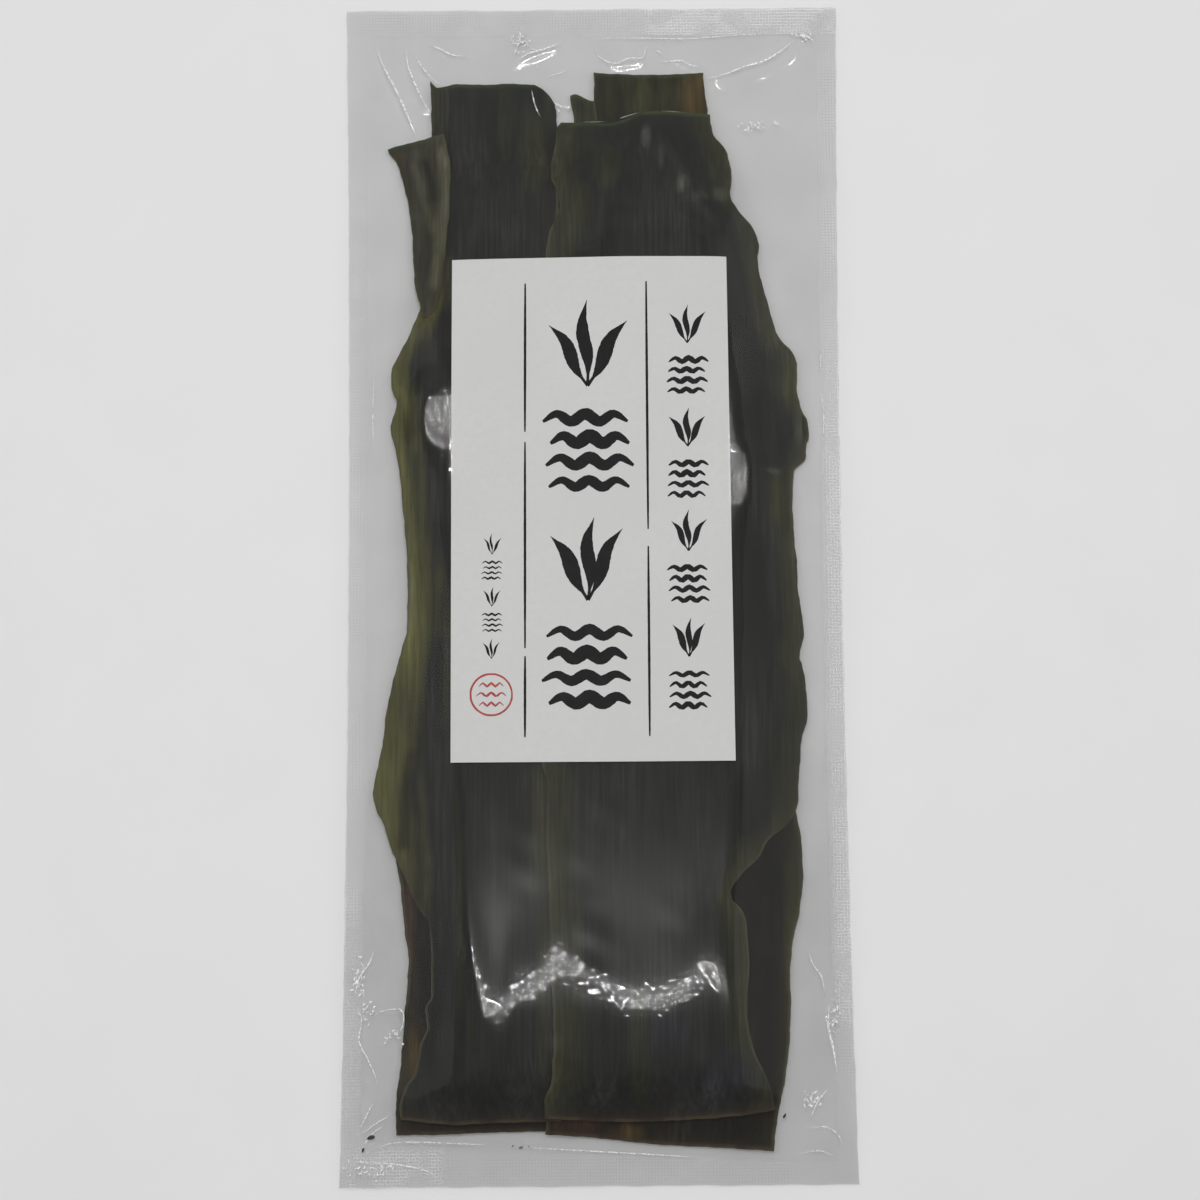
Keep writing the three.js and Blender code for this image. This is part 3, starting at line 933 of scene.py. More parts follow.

# Creases in the film, each a thin raised ribbon painted white and partly see-through as its glint: path,
# width
CREASE_GLINTS = [
    ([(-67.3, 168.9), (-64.9, 162.4), (-60.5, 153.6), (-54.2, 138.9)], 0.62),
    ([(-57.7, 169.6), (-57.2, 163.0), (-55.0, 156.4), (-49.6, 145.0)], 0.5),
    ([(-55.4, 166.6), (-52.5, 161.4), (-48.9, 157.4), (-46.2, 155.0)], 0.4),
    ([(-52.0, 169.6), (-47.0, 167.6), (-43.0, 165.6), (-37.0, 165.0)], 0.42),
    ([(-22.9, 175.6), (-22.2, 172.0), (-23.0, 168.6), (-24.4, 164.2)], 0.5),
    ([(-23.8, 163.3), (-19.4, 166.0), (-14.0, 167.6), (-8.2, 170.0)], 0.5),
    ([(-23.6, 169.9), (-20.8, 170.1), (-19.4, 167.4)], 0.3),
    ([(-18.6, 163.2), (-16.0, 160.6)], 0.26),
    ([(-13.6, 158.6), (-7.6, 160.4)], 0.3),
    ([(-18.8, 154.6), (-17.6, 149.0), (-15.8, 144.6)], 0.42),
    ([(0.0, 167.4), (3.2, 164.0), (7.3, 162.4), (12.4, 164.2), (15.6, 164.0), (17.2, 168.2),
      (19.2, 169.0)], 0.36),
    ([(19.8, 167.2), (22.4, 165.2)], 0.3),
    ([(21.2, 162.9), (27.8, 163.2), (31.6, 161.4), (35.0, 161.8)], 0.42),
    ([(34.6, 157.2), (41.0, 158.6), (47.0, 161.0), (53.5, 162.9), (59.4, 166.4), (63.6, 170.6)], 0.55),
    ([(63.6, 170.6), (66.0, 171.6), (69.4, 169.2)], 0.6),
    ([(-4.8, 170.4), (10.0, 170.9), (28.0, 170.6), (46.0, 171.7), (63.0, 172.4)], 0.26),
    ([(-66.7, 66.0), (-67.4, 52.0), (-66.9, 36.0)], 0.22),
    ([(69.4, 70.6), (69.2, 62.4)], 0.24),
    ([(68.9, 59.6), (70.0, 50.0), (69.4, 40.0)], 0.24),
    ([(-66.1, -110.0), (-67.3, -114.0), (-70.9, -119.6), (-72.2, -125.4)], 0.5),
    ([(-71.6, -126.8), (-70.0, -131.6), (-70.8, -137.0), (-67.6, -144.0), (-65.2, -150.6),
      (-65.2, -152.6)], 0.42),
    ([(-66.2, -155.0), (-68.6, -159.8), (-70.6, -163.6)], 0.4),
    ([(-67.8, -130.6), (-62.6, -128.8), (-58.9, -128.4), (-57.3, -130.6), (-58.2, -134.6),
      (-60.6, -136.6)], 0.34),
    ([(-60.6, -159.0), (-65.4, -161.6), (-70.0, -165.0)], 0.34),
    ([(-62.0, -161.6), (-66.0, -164.2), (-70.4, -169.6)], 0.28),
    ([(-71.0, -173.0), (-62.0, -173.4), (-52.0, -175.2), (-45.8, -178.0)], 0.42),
    ([(-68.4, -170.8), (-64.0, -168.2), (-58.0, -167.2), (-45.0, -167.6), (-30.0, -168.4)], 0.36),
    ([(-28.0, -168.6), (-12.0, -169.6), (4.0, -170.6), (20.0, -171.6), (34.0, -172.6)], 0.36),
    ([(62.3, -111.4), (63.4, -115.6), (66.2, -120.0), (67.4, -126.0)], 0.36),
    ([(68.6, -127.0), (67.9, -133.6), (69.4, -141.3), (70.5, -149.4)], 0.72),
    ([(67.8, -152.2), (64.4, -156.4), (61.8, -162.0)], 0.42),
    ([(63.0, -154.4), (62.0, -158.0)], 0.26),
    ([(60.6, -164.0), (66.0, -163.6), (70.4, -166.2), (72.0, -170.8)], 0.3),
    ([(57.6, -171.6), (64.4, -170.6), (70.0, -172.6)], 0.26),
    ([(-3.4, 143.2), (0.0, 143.1), (5.0, 143.2)], 0.10),
    ([(8.0, 143.9), (10.4, 144.8), (14.7, 146.2)], 0.16),
    ([(20.9, 146.6), (25.3, 146.4), (29.8, 145.9)], 0.08),
]

# Patches where the film is crumpled: across, up, half width, half height
CRUMPLED = [
    (51.5, 142.0, 6.5, 2.6),
    (-22.0, 169.0, 4.0, 3.4),
    (-9.4, 148.4, 2.6, 1.5),
    (66.0, 171.0, 3.4, 2.2),
    (-71.0, -121.0, 3.0, 8.0),
    (-68.4, -129.4, 2.4, 4.0),
    (-60.6, -136.4, 3.0, 2.6),
    (-66.0, -175.5, 9.0, 3.0),
    (69.3, -131.0, 2.2, 7.0),
    (63.0, -156.0, 3.0, 4.0),
]

# Where the seals' weave press shows, its threads painted near white as sparkle: across, up, half width, half
# height, strength
PRESS_AND_SPARKLE = [
    (46.0, 176.0, 34.0, 5.0, 1.3),
    (-45.0, 177.0, 30.0, 4.0, 0.3),
    (0.0, 177.0, 15.0, 4.0, 0.45),
    (73.5, -36.0, 4.0, 126.0, 0.75),
    (73.5, 130.0, 4.0, 45.0, 0.4),
    (-73.5, -128.0, 4.0, 40.0, 0.55),
    (-73.5, 20.0, 4.0, 110.0, 0.2),
    (-60.0, -175.0, 17.0, 7.0, 0.85),
    (10.0, -177.0, 60.0, 6.0, 0.25),
]


def half_width_at(y):
    """Half the pouch's width, which the pile draws in most at the waist."""
    return POUCH_WIDTH / 2 - WAIST_DRAW * (1 - (2 * y / POUCH_LENGTH) ** 2)


def pouch_point(u, v):
    """Point of the pouch's outline rectangle, whose sides tremble slightly."""
    y = (v - 0.5) * POUCH_LENGTH
    tremble = 0.16 * (1 + ripple(y, (31.0, 17.0, 9.0), 401)) * np.where(u > 0.5, 1, 0.8)
    x = (2 * u - 1) * (half_width_at(y) - tremble)
    end = 0.14 * (1 + ripple(x, (27.0, 13.0), 402))
    return x, y * (1 - end / (POUCH_LENGTH / 2))


def seal_lift(x, y):
    waist = 1 - (2 * y / POUCH_LENGTH) ** 2
    along = np.sin(2 * math.pi * y / 83 + np.where(x > 0, 0.4, 2.1))
    across = np.sin(2 * math.pi * x / 61 + np.where(y > 0, 1.1, 3.0))
    return END_LIFT + (WAIST_LIFT - END_LIFT) * waist + SEAL_RIPPLE * (along + across)


def seal_depth(x, y):
    """How far inside the seals a place is: 0 or less on a seal."""
    from_bottom = y - (BOTTOM_SEAL_LINE + BOTTOM_SEAL_SLANT * x)
    return np.minimum(half_width_at(y) - SIDE_SEAL - np.abs(x), np.minimum(TOP_SEAL_LINE - y, from_bottom))


def edge_depth(x, y):
    return np.minimum(half_width_at(y) - np.abs(x), POUCH_LENGTH / 2 - np.abs(y))


def fold_relief(x, y):
    """Height of the folds of slack film over the rest of it."""
    height = np.zeros_like(x)
    for path, rise, width in FILM_FOLDS:
        away, along = path_distance(x, y, path)
        fade = ease(along, -0.02, 0.2) * (1 - ease(along, 0.8, 1.02))
        height = np.maximum(height, rise * fade * np.exp(-np.abs(away / width) ** 1.4))
    return height


def pile_cover(pile):
    """Height of film that clings to the pile: it evens out the leaves' steps and is level in the middle."""
    x, y = pile.across, pile.along
    top = np.where(pile.covered, pile.top, 0)
    cover = soften_inside(top, pile.covered, STEP_ROUNDS)
    short = np.where(pile.covered, np.clip(top + FILM_GAP - cover, 0, None), 0)
    cover = cover + soften_inside(widen(short, 6), pile.covered, CREST_ROUNDS)
    from_middle = np.abs(y - LEVEL_MIDDLE)
    level = pile.covered & (from_middle < LEVEL_LENGTH / 2)
    evened = soften_inside(cover, level, LEVEL_ROUNDS, axes=(0,))
    near_ends = ease(from_middle, LEVEL_LENGTH / 2 - LEVEL_FADE, LEVEL_LENGTH / 2)
    inner = (1 - ease(np.abs(x), 40, 54)) * (1 - near_ends)
    cover = cover + inner * (evened + LEVEL_LIFT - cover)
    return np.where(pile.covered, np.maximum(cover, top + FILM_GAP), 0)


def drape_film(pile):
    """Height of the front film: on the pile or its own folds, or else at the mean of its neighbours."""
    x, y = pile.across, pile.along
    sealed = seal_depth(x, y) <= 0
    held = seal_lift(x, y) + SEAL_GAP / 2
    resting = pile_cover(pile)
    film = np.where(sealed, held, resting)
    for _ in range(SLACK_ROUNDS):
        beside = 0.5 * (np.roll(film, 1, 1) + np.roll(film, -1, 1))
        above = 0.5 * (np.roll(film, 1, 0) + np.roll(film, -1, 0))
        film = np.where(sealed, held, np.maximum(resting, 0.6 * beside + 0.4 * above))
    free = np.clip(film - resting, 0, 1)
    film = film + fold_relief(x, y) * ease(seal_depth(x, y), 0.0, 2.5)
    slack = 0.18 * ripple(x + 0.5 * y, (13.0, 21.0), 71) * ripple(y - 0.4 * x, (17.0, 29.0), 72)
    film = film + slack * free * ease(seal_depth(x, y), 0.0, 4.0)
    film = soften(film, 3) + glance_crest(x, y)
    film = level_patches(film, x, y)
    clear = np.where(pile.covered, pile.top + FILM_GAP, 0)
    film = film + soften(widen(np.clip(clear + 0.04 - film, 0, None), 4), 24)
    return np.where(sealed, film, np.maximum(film, clear))


def glance_crest(x, y):
    """A low crest near the glance line, whose slope along it is that which mirrors the near tube."""
    line = smooth_curve(GLANCE_LINE)(x)
    line = line + (line - NEAR_GLANCE) * MIRROR_SLOPE * CREST_WIDTH**2 / CREST_HEIGHT
    fade = ease(x, -43, -36) * (1 - ease(x, 42, 49))
    return CREST_HEIGHT * fade * np.exp(-(((y - line) / CREST_WIDTH) ** 2) / 2)


def glint_share(x, y):
    """Where the film is crinkled hard: 1 along the glance line and in the level patches."""
    share = np.exp(-(((y - smooth_curve(GLANCE_LINE)(x)) / 6.0) ** 2)) * (1 - ease(np.abs(x), 44, 50))
    return np.maximum(share, oval_mask(x, y, GLANCE_PATCHES, 0.9, 1.9))


def level_patches(film, x, y):
    """Draws the film level beside the label, near the slope which mirrors the far tube."""
    for patch in GLANCE_PATCHES:
        across, up, _, _, fall = patch
        away = oval_share(x, y, patch)
        plane = fall * (x - across) + (MIRROR_SLOPE * (up - FAR_GLANCE) + PATCH_TILT) * (y - up)
        plane = plane + np.max((film - plane)[away < 0.8])
        film = film + (1 - ease(away, 0.6, 1.9)) * (plane - film)
    return film


def film_material():
    """Clear film: fine crinkles where it clings to the kelp, and a weave press in the seals whose threads are
    also painted near white as sparkle.
    """
    material, nodes = new_material("clear_film")
    place = nodes.object_place()
    seal = nodes.attribute("seal")
    clinging = nodes.steps(nodes.attribute("contact"), 0.5, 1.0, 0.02, 1.0)
    hard = nodes.plus(nodes.times(nodes.attribute("glint"), 2.3), 0.35)
    crinkle = nodes.times(nodes.noise(place, 540, detail=0), hard, clinging)
    crumple = nodes.times(nodes.noise(place, 330, detail=1), nodes.attribute("crumple"), 14.0)
    split = nodes.add("ShaderNodeSeparateXYZ", Vector=place).outputs
    pitch = 2 * math.pi / (WEAVE_PITCH * MM)
    across, along = (nodes.math("SINE", nodes.times(split[axis], pitch)) for axis in "XY")
    clouds = nodes.steps(nodes.noise(place, 120, detail=1), 0.30, 0.55, 0.25, 1.0)
    threads = nodes.steps(nodes.math("MAXIMUM", across, along), 0.2, 1.0)
    weave_and_sparkle = nodes.times(threads, nodes.attribute("pressed"), clouds)
    height = nodes.plus(crinkle, crumple, nodes.times(weave_and_sparkle, 0.4))
    colour = nodes.blend(seal, grey(0.05), grey(0.30))
    # Where the weave shows, its threads are painted near white and made more opaque: painted sparkle on the
    # seals, besides their bump
    colour = nodes.blend(weave_and_sparkle, colour, grey(0.95))
    facing = nodes.add("ShaderNodeLayerWeight", Blend=0.35).outputs["Facing"]
    haze = nodes.times(nodes.math("POWER", facing, 2.5), 0.35)
    alpha = nodes.plus(nodes.times(seal, 0.05), 0.11, haze)
    alpha = nodes.math("ADD", alpha, nodes.times(weave_and_sparkle, 0.30), clamp=True)
    finish_surface(
        nodes, colour, nodes.steps(seal, 0.0, 1.0, 0.045, 0.55), height, CRINKLE_HEIGHT, IOR=2.2, Alpha=alpha,
        Coat_Weight=nodes.steps(seal, 0.0, 1.0, 0.85, 0.1), Coat_Roughness=0.14, Coat_IOR=1.6,
    )
    return material


def back_film_material():
    """Film on the table's side, seen through all the rest, and more opaque towards the bottom, which darkens
    it there: painted shade.
    """
    material, nodes = new_material("back_film")
    place = nodes.object_place()
    cloud = nodes.noise(place, 60, detail=1)
    up = nodes.add("ShaderNodeSeparateXYZ", Vector=place).outputs["Y"]
    # Opacity rises towards the bottom: painted shade where the light falls off down the pack
    alpha = nodes.plus(nodes.steps(cloud, 0.3, 0.7, 0.10, 0.13), nodes.steps(up, -0.11, -0.01, 0.07, 0.0))
    colour = nodes.blend(cloud, grey(0.10), grey(0.16))
    finish_surface(nodes, colour, 0.6, cloud, 0.05, IOR=1.3, Alpha=alpha)
    return material


class PouchSettings(bpy.types.PropertyGroup):
    film_pitch: FloatProperty(
        name="Film mesh pitch", description="Distance between the film's mesh lines", default=1.05 * MM,
        min=0.5 * MM, max=4 * MM, precision=5, unit="LENGTH", subtype="DISTANCE",
    )


def close_rim(film):
    """Joins the two films along their open edges and turns every face outward."""
    make_active(film)
    bpy.ops.object.mode_set(mode="EDIT")
    bpy.ops.mesh.select_mode(type="EDGE")
    bpy.ops.mesh.select_all(action="DESELECT")
    bpy.ops.mesh.select_non_manifold()
    bpy.ops.mesh.bridge_edge_loops()
    bpy.ops.mesh.select_all(action="SELECT")
    bpy.ops.mesh.normals_make_consistent(inside=False)
    bpy.ops.object.mode_set(mode="OBJECT")


def mark_film(film, pile):
    """Writes where the film is sealed, where its seals show the weave press and its painted sparkle, where it
    clings to the kelp, glints and is crumpled.
    """
    x, y, z = (points_of(film) / MM).T
    heights = MADE["film"]
    over = pile.sample(heights, x, y) - 0.2 < z
    covered = pile.sample(soften(pile.covered.astype(float), 2), x, y)
    clearance = pile.sample(heights - np.where(pile.covered, pile.top, 0), x, y)
    glint = glint_share(x, y) * over
    pressed = np.zeros_like(x)
    for cx, cy, half_width, half_height, strength in PRESS_AND_SPARKLE:
        away = np.maximum(np.abs(x - cx) / half_width, np.abs(y - cy) / half_height)
        pressed = np.maximum(pressed, strength * (1 - ease(away, 0.7, 1.05)))
    seal = 1 - ease(seal_depth(x, y), -0.6, 0.3)
    write_attributes(
        film,
        seal=seal,
        pressed=pressed * seal * over,
        contact=np.maximum(covered * (1 - ease(clearance, 2.5, 5.0)) * over, glint),
        glint=glint,
        crumple=oval_mask(x, y, CRUMPLED, 0.4, 1.0) * over,
    )


class KELP_OT_seal_pouch(bpy.types.Operator):
    """Drapes the clear film over the pile and seals it round the edges"""

    bl_idname = "kelp.seal_pouch"
    bl_label = "Seal Pouch"

    def execute(self, context):
        if "pile" not in MADE:
            raise RuntimeError("lay the kelp sheets first")
        pile = MADE["pile"]
        MADE["film"] = drape_film(pile)
        pitch = context.scene.kelp_pouch.film_pitch / MM
        columns = round(POUCH_WIDTH / pitch)
        rows = round(POUCH_LENGTH / (1.08 * pitch))

        def front(u, v):
            x, y = pouch_point(u, v)
            return x, y, pile.sample(MADE["film"], x, y)

        def back(u, v):
            x, y = pouch_point(1 - u, v)
            slope = np.clip(1 - edge_depth(x, y) / UNDERSIDE_SLOPE, 0, 1) ** 1.3
            lift = seal_lift(x, y) - SEAL_GAP / 2
            return x, y, BACK_GAP + np.maximum(lift - BACK_GAP, 0) * slope

        film = join("pouch_film", [
            grid_piece("film_front", columns, rows, front),
            grid_piece("film_back", columns, rows, back),
        ])
        close_rim(film)
        mark_film(film, pile)
        smooth(film, 60)
        finish_piece(film, film_material(), "bag")
        film.data.materials.append(back_film_material())
        under = np.empty(len(film.data.polygons) * 3)
        film.data.polygons.foreach_get("normal", under)
        film.data.polygons.foreach_set("material_index", (under[2::3] < -0.2).astype(np.int32))
        return {"FINISHED"}


def along_path(path, t):
    """Points along a path of straight stretches, rounded at its corners, for t from 0 to 1."""
    lengths = np.cumsum([0.0] + [math.dist(a, b) for a, b in zip(path, path[1:])])
    share = lengths / lengths[-1]
    x = smooth_curve([(s, p[0]) for s, p in zip(share, path)])(t)
    y = smooth_curve([(s, p[1]) for s, p in zip(share, path)])(t)
    return x, y


def ribbon_point(path, half_width, t, side):
    """Point of a ribbon along a path; side is -1 to 1 across it, half_width a function of t."""
    x0, y0 = along_path(path, np.clip(t - 0.004, 0, 1))
    x1, y1 = along_path(path, np.clip(t + 0.004, 0, 1))
    length = np.maximum(np.hypot(x1 - x0, y1 - y0), 1e-9)
    x, y = along_path(path, t)
    reach = half_width(t) * side
    return x - (y1 - y0) / length * reach, y + (x1 - x0) / length * reach


def path_length(path):
    return sum(math.dist(a, b) for a, b in zip(path, path[1:]))


def ribbon_piece(name, path, half_width, columns, step, height):
    """A thin ribbon along a path, with the strength of its painted glint fading to both sides and both ends.
    """
    def place(u, v):
        x, y = ribbon_point(path, half_width, v, 2 * u - 1)
        return x, y, height(x, y, 2 * u - 1)

    rows = max(8, round(path_length(path) / step))
    piece = grid_piece(name, columns, rows, place)
    across = np.tile(np.linspace(-1, 1, columns + 1), rows + 1)
    along = np.repeat(np.linspace(0, 1, rows + 1), columns + 1)
    write_attributes(piece, strength=(1 - across**2) * np.sin(math.pi * along) ** 0.5)
    return piece


class KELP_OT_press_crease_glints(bpy.types.Operator):
    """Raises thin ribbons along the film's creases and in its crumpled patches, painted white as their glints
    """

    bl_idname = "kelp.press_creases"
    bl_label = "Press Film Creases"

    def execute(self, context):
        if "film" not in MADE:
            raise RuntimeError("seal the pouch first")
        pile = MADE["pile"]

        def height(x, y, side):
            return pile.sample(MADE["film"], x, y) + CREASE_GAP + 0.12 * (1 - side**2)

        pieces = []
        for number, (path, width) in enumerate(CREASE_GLINTS):
            def half_width(t, width=width, number=number):
                uneven = 0.8 + 0.4 * ripple(t * 40, (7.0, 3.1, 1.7), 500 + number)
                return 0.9 * width * np.sin(math.pi * np.clip(t, 0.02, 0.98)) ** 0.6 * uneven

            pieces.append(ribbon_piece(f"crease_{number}", path, half_width, 4, 0.6, height))
        # Short ribbons scattered in the crumpled patches, painted white as their sparkle
        dice = np.random.default_rng(31)
        for cx, cy, reach_x, reach_y in CRUMPLED:
            for _ in range(4 + round(0.9 * reach_x * reach_y)):
                x = cx + reach_x * np.clip(dice.normal(0, 0.45), -1, 1)
                y = cy + reach_y * np.clip(dice.normal(0, 0.45), -1, 1)
                turn = dice.uniform(0, math.pi)
                reach = dice.uniform(0.35, 1.0)
                dx, dy = reach * math.cos(turn), reach * math.sin(turn)
                width = dice.uniform(0.22, 0.55)
                path = [(x - dx, y - dy), (x + dx, y + dy)]
                name = f"sparkle_{len(pieces)}"
                pieces.append(ribbon_piece(name, path, lambda t, width=width: width + 0 * t, 2, 0.5, height))
        creases = join("film_creases", pieces)
        smooth(creases, 60)
        # White, partly see-through ribbons: painted glints
        material, nodes = new_material("film_creases")
        glint_flecks = nodes.noise(nodes.object_place(), 1300, detail=2)
        colour = nodes.blend(glint_flecks, (0.85, 0.86, 0.86, 1), (1, 1, 1, 1))
        glints = nodes.steps(glint_flecks, 0.35, 0.6, 0.35, 1.0)
        alpha = nodes.times(nodes.steps(nodes.attribute("strength"), 0.15, 0.75), glints)
        finish_surface(nodes, colour, 0.3, glint_flecks, 0.03, IOR=1.6, Alpha=alpha)
        finish_piece(creases, material, "bag")
        return {"FINISHED"}


# Label

LABEL_LEFT = -43.0
LABEL_RIGHT = 40.8
LABEL_TOP = 98.0
LABEL_BOTTOM = -56.2
LABEL_FLARE = 0.7
LABEL_THICKNESS = 0.22
INK_THICKNESS = 0.03


def label_place(u, v):
    left = LABEL_LEFT - 0.3 * (1 - v)
    right = LABEL_RIGHT + LABEL_FLARE * (1 - v) - 0.2
    x = left + u * (right - left)
    y = LABEL_BOTTOM + v * (LABEL_TOP - LABEL_BOTTOM)
    return x, y + 0.35 * np.sin(math.pi * u) * (v - 0.1)


def label_height(x, y):
    return MADE["pile"].sample(MADE["label_bed"], x, y)


def colour_property(name, description, default):
    return FloatVectorProperty(
        name=name, description=description, default=default, size=3, min=0, max=1, subtype="COLOR"
    )


class LabelSettings(bpy.types.PropertyGroup):
    paper: colour_property("Paper colour", "Colour of the label's bare paper", (0.71, 0.71, 0.70))
    ink: colour_property("Ink colour", "Colour of the black brush marks", (0.008, 0.008, 0.009))
    red_ink: colour_property("Red ink colour", "Colour of the small ring mark", (0.42, 0.07, 0.06))


class KELP_OT_stick_label(bpy.types.Operator):
    """Sticks the paper label on the front film"""

    bl_idname = "kelp.stick_label"
    bl_label = "Stick Label"

    def execute(self, context):
        if "film" not in MADE:
            raise RuntimeError("seal the pouch first")
        bed = soften(widen(MADE["film"], 3), 14)
        MADE["label_bed"] = np.maximum(bed, widen(MADE["film"], 1)) + LABEL_GAP

        def place(u, v):
            x, y = label_place(u, v)
            return x, y, label_height(x, y)

        label = grid_piece("paper_label", 60, 110, place)
        apply_modifier(label, "SOLIDIFY", thickness=LABEL_THICKNESS * MM, offset=1.0)
        smooth(label)
        material, nodes = new_material("label_paper")
        paper = context.scene.kelp_label.paper
        at = nodes.object_place()
        pulp = nodes.noise(at, 500, detail=5, roughness=0.65)
        cloud = nodes.noise(at, 38, detail=3)
        colour = nodes.blend(nodes.steps(pulp, 0.3, 0.7), (*[c * 0.95 for c in paper], 1), (*paper, 1))
        colour = nodes.blend(nodes.steps(cloud, 0.35, 0.7, 0.0, 0.5), colour, (*[c * 0.94 for c in paper], 1))
        finish_surface(nodes, colour, nodes.steps(pulp, 0.3, 0.7, 0.62, 0.75), pulp, 0.02)
        finish_piece(label, material, "label")
        return {"FINISHED"}


# Brush marks: thin ruled lines, and a generic column of fronds and waves

RULED_LINES = [
    [(-20.7, 90.2), (-20.9, 43.8)],
    [(-20.9, 40.7), (-21.1, -22.1)],
    [(-21.1, -24.5), (-21.2, -48.8)],
    [(16.1, 90.4), (16.0, 13.8)],
    [(16.0, 8.6), (15.9, -48.7)],
]


def blade_stroke(x, y, length, lean, sway, width):
    """A brush stroke like one blade of kelp, growing from its foot and swaying to and fro."""
    angle = math.radians(lean)
    path = []
    for step in range(9):
        t = step / 8
        side = sway * length * t**0.6 * math.sin(2.3 * math.pi * t)
        path.append((x + length * t * math.sin(angle) + side * math.cos(angle),
                     y + length * t * math.cos(angle) - side * math.sin(angle)))
    return path, width, "blade"


def wave_stroke(x, y, reach, rise, width):
    """A brush stroke like a short train of waves, from left to right."""
    path = [(x + reach * (step / 6 - 0.5), y + rise * (1 if step % 2 else -0.8)) for step in range(7)]
    return path, width, "wave"


def frond_mark(x, y, size, weight, dice):
    """A tuft of three blades, in the middle of its own square."""
    foot = y - 0.47 * size
    strokes = []
    for lean, length, sway in ((-27, 0.84, -0.05), (0, 0.98, 0.05), (26, 0.88, 0.05)):
        lean += dice.uniform(-3, 3)
        reach = size * length * dice.uniform(0.94, 1.02)
        sway *= dice.uniform(0.8, 1.2)
        strokes.append(blade_stroke(x, foot, reach, lean, sway, weight * dice.uniform(0.9, 1.1)))
    return strokes


def wave_mark(x, y, size, weight, dice):
    """Four waves, in the middle of their own square."""
    strokes = []
    for step, reach in enumerate((0.90, 0.98, 0.88, 0.95)):
        shift = dice.uniform(-0.04, 0.04) * size
        rise = size * dice.uniform(0.04, 0.055)
        at = y + size * (0.25 * step - 0.375)
        strokes.append(wave_stroke(x + shift, at, reach * size, rise, weight * dice.uniform(0.72, 0.95)))
    return strokes


def column_of_marks(top, size, weight, count, seed):
    """Fronds and waves in turn down the label, from the place of the top one."""
    dice = np.random.default_rng(seed)
    strokes = []
    x, y, pitch, slant = top
    for number in range(count):
        make = frond_mark if number % 2 == 0 else wave_mark
        strokes += make(x + slant * number, y - pitch * number, size, weight, dice)
    return strokes


def ring_mark():
    """A plain red ring with three waves in it."""
    x, y, radius = -31.2, -36.0, 6.2
    turns = [math.radians(8 + 15 * step) for step in range(25)]
    strokes = [([(x + radius * math.cos(a), y + radius * math.sin(a)) for a in turns], 0.62, "even")]
    for row, reach in ((-1, 7.4), (0, 9.0), (1, 7.4)):
        strokes.append(wave_stroke(x, y + 2.9 * row, reach, 0.6, 0.75))
    return strokes


def stroke_width(kind, t):
    """Share of its full width that a brush stroke has at t, from 0 at its start to 1 at its end."""
    if kind == "blade":
        return np.maximum(0.24 * (1 - t), ease(t, 0.0, 0.45) * (1 - ease(t, 0.55, 1.03)) ** 0.8)
    blunt = {"wave": 0.62, "rule": 0.25, "even": 0.10}[kind]
    return np.sin(math.pi * np.clip(0.03 + 0.94 * t, 0, 1)) ** blunt


def brush_piece(name, strokes, seed):
    """Joins brush strokes into one thin piece that lies on the label."""
    pieces = []
    for number, (path, width, kind) in enumerate(strokes):
        def half_width(t, width=width, kind=kind, number=number):
            wobble = 1 + 0.07 * ripple(t * 30, (9.0, 4.0, 2.2), seed + number)
            return width / 2 * stroke_width(kind, t) * wobble

        def place(u, v, path=path, half_width=half_width):
            x, y = ribbon_point(path, half_width, v, 2 * u - 1)
            return x, y, label_height(x, y) + LABEL_THICKNESS + 0.015

        rows = max(12, round(path_length(path) / 0.8))
        pieces.append(grid_piece(f"{name}_{number}", 3, rows, place))
    joined = join(name, pieces)
    apply_modifier(joined, "SOLIDIFY", thickness=INK_THICKNESS * MM, offset=1.0)
    return joined


def ink_material(name, ink):
    material, nodes = new_material(name)
    wash = nodes.noise(nodes.object_place(), 260, detail=4, roughness=0.6)
    thin = (*[min(1.0, c * 1.4 + 0.006) for c in ink], 1)
    colour = nodes.blend(nodes.steps(wash, 0.45, 0.75), (*ink, 1), thin)
    finish_surface(nodes, colour, nodes.steps(wash, 0.3, 0.7, 0.5, 0.62), wash, 0.01, Specular_IOR_Level=0.15)
    return material


class KELP_OT_print_label(bpy.types.Operator):
    """Brushes the ruled lines and the plain marks on the label"""

    bl_idname = "kelp.print_label"
    bl_label = "Print Label"

    def execute(self, context):
        if "label_bed" not in MADE:
            raise RuntimeError("stick the label first")
        settings = context.scene.kelp_label
        black = ink_material("black_ink", settings.ink)
        large = column_of_marks((-1.9, 70.6, 32.8, -0.12), 27.0, 4.4, 4, 11)
        small = column_of_marks((28.4, 77.0, 16.0, -0.08), 12.6, 1.9, 8, 12)
        thin = column_of_marks((-30.9, 9.4, 7.9, -0.05), 6.4, 0.75, 5, 13)
        for name, strokes, seed, ink in (
            ("label_ruled_lines", [(path, 0.78, "rule") for path in RULED_LINES], 600, black),
            ("label_brush_marks", large + small + thin, 640, black),
            ("label_ring_mark", ring_mark(), 720, ink_material("red_ink", settings.red_ink)),
        ):
            finish_piece(brush_piece(name, strokes, seed), ink)
        return {"FINISHED"}


# Studio


class StudioSettings(bpy.types.PropertyGroup):
    tube_brightness: FloatProperty(
        name="Tube brightness", default=200.0, min=0,
        description="Radiance of the two thin ceiling tubes whose reflection glances off the film",
    )
    surround: FloatProperty(
        name="Surround", description="Brightness of the even light all round", default=0.22, min=0
    )


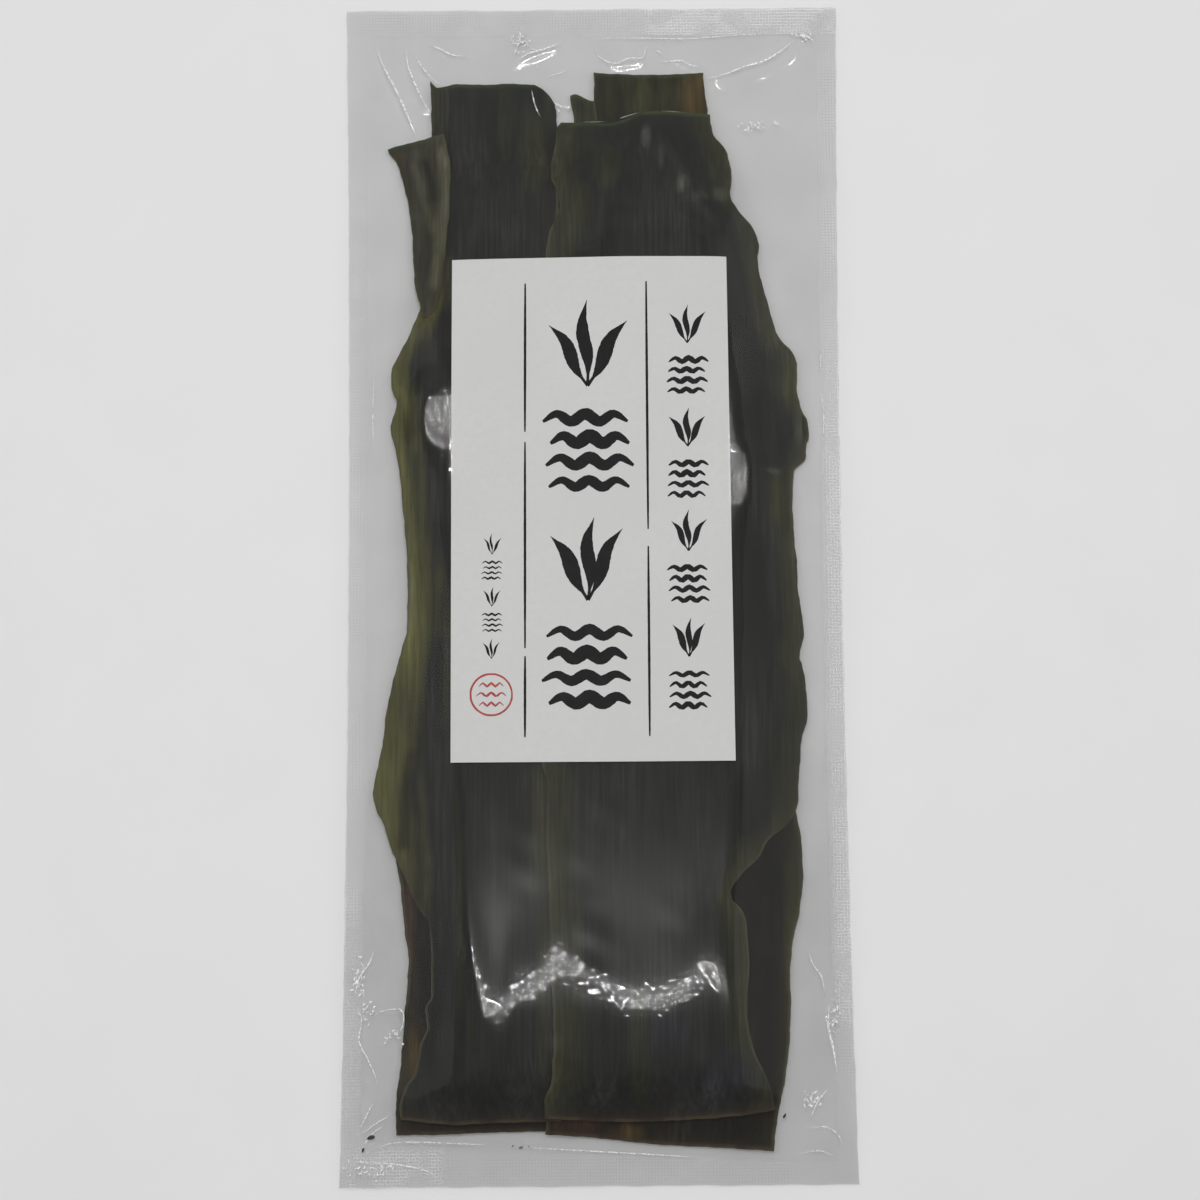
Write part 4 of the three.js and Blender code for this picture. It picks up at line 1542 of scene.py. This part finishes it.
# Soft lights, all turned to the pack: name, place, size in metres, radiance
SOFT_LIGHTS = [
    ("soft_top", (0, 1900, 1400), (4.4, 3.0), 0.28),
    ("soft_left", (-1900, 100, 1500), (2.0, 2.0), 0.5),
    ("soft_right", (1900, 100, 1500), (2.0, 2.0), 0.5),
]


def mirrored_height(y, light_height):
    """Where a light at that height is seen by the camera in level film at y."""
    _, camera_y, camera_z = CAMERA_PLACE
    return y + (y - camera_y) * light_height / camera_z


def area_light(name, place, aim, size, radiance):
    """A rectangular light of even radiance."""
    lamp = bpy.data.lights.new(name, "AREA")
    lamp.shape = "RECTANGLE"
    lamp.size = size[0]
    lamp.size_y = size[1]
    lamp.energy = radiance * math.pi * size[0] * size[1]
    holder = bpy.data.objects.new(name, lamp)
    bpy.context.scene.collection.objects.link(holder)
    holder.location = metres(*place)
    away = [a - b for a, b in zip(place, aim)]
    holder.rotation_euler = (
        math.atan2(math.hypot(away[0], away[1]), away[2]) if away[0] else -math.atan2(away[1], away[2]),
        0,
        math.atan2(away[1], away[0]) + math.pi / 2 if away[0] else 0,
    )


class KELP_OT_set_studio(bpy.types.Operator):
    """Sets out the table, the soft lights, the two ceiling tubes and the camera"""

    bl_idname = "kelp.set_studio"
    bl_label = "Set Studio"

    def execute(self, context):
        scene = context.scene
        settings = scene.kelp_studio
        deselect()
        bpy.ops.mesh.primitive_grid_add(x_subdivisions=8, y_subdivisions=8, size=6)
        table = context.object
        table.name = "table"
        x, y, z = (points_of(table) / MM).T
        set_points(table, x, y, z + TABLE_TOP)
        material, nodes = new_material("table")
        mottle = nodes.noise(nodes.object_place(), 30, detail=4)
        finish_surface(nodes, nodes.blend(mottle, grey(0.90), grey(0.94)), 0.75)
        table.data.materials.append(material)

        for name, glance in (("tube_near", NEAR_GLANCE), ("tube_far", FAR_GLANCE)):
            place = (0, mirrored_height(glance, TUBE_HEIGHT), TUBE_HEIGHT)
            area_light(name, place, (0, place[1], 0), TUBE_SIZE, settings.tube_brightness)
        for name, place, size, radiance in SOFT_LIGHTS:
            area_light(name, place, (0, 0, 0), size, radiance)

        world = bpy.data.worlds.new("surround")
        world.use_nodes = True
        background = world.node_tree.nodes["Background"]
        background.inputs["Color"].default_value = grey(1)
        background.inputs["Strength"].default_value = settings.surround
        scene.world = world

        lens = bpy.data.cameras.new("camera")
        lens.lens = CAMERA_LENS
        lens.sensor_width = 36.0
        camera = bpy.data.objects.new("camera", lens)
        scene.collection.objects.link(camera)
        camera.location = metres(*CAMERA_PLACE)
        camera.rotation_euler = (math.radians(CAMERA_TILT), 0, math.radians(CAMERA_ROLL))
        scene.camera = camera
        scene.view_settings.view_transform = "Standard"
        return {"FINISHED"}


OPERATORS = (
    KELP_OT_set_studio,
    KELP_OT_lay_leaves,
    KELP_OT_scatter_crumbs,
    KELP_OT_seal_pouch,
    KELP_OT_press_crease_glints,
    KELP_OT_stick_label,
    KELP_OT_print_label,
)


SETTINGS = {
    "kelp_leaves": KelpSettings,
    "kelp_pouch": PouchSettings,
    "kelp_label": LabelSettings,
    "kelp_studio": StudioSettings,
}


class KELP_PT_pack(bpy.types.Panel):
    """Lists the steps that dress the pack"""

    bl_label = "Kelp Pack"
    bl_idname = "KELP_PT_pack"
    bl_space_type = "VIEW_3D"
    bl_region_type = "UI"
    bl_category = "Kelp Pack"

    def draw(self, context):
        for operator in OPERATORS:
            self.layout.operator(operator.bl_idname)
        for name, settings in SETTINGS.items():
            for prop in settings.__annotations__:
                self.layout.prop(getattr(context.scene, name), prop)


def register():
    for name, settings in SETTINGS.items():
        bpy.utils.register_class(settings)
        setattr(bpy.types.Scene, name, PointerProperty(type=settings))
    for operator in (*OPERATORS, KELP_PT_pack):
        bpy.utils.register_class(operator)


def unregister():
    for operator in reversed((*OPERATORS, KELP_PT_pack)):
        bpy.utils.unregister_class(operator)
    for name, settings in SETTINGS.items():
        delattr(bpy.types.Scene, name)
        bpy.utils.unregister_class(settings)


def main():
    register()
    for operator in OPERATORS:
        section, step = operator.bl_idname.split(".")
        getattr(getattr(bpy.ops, section), step)()


if __name__ == "__main__":
    main()
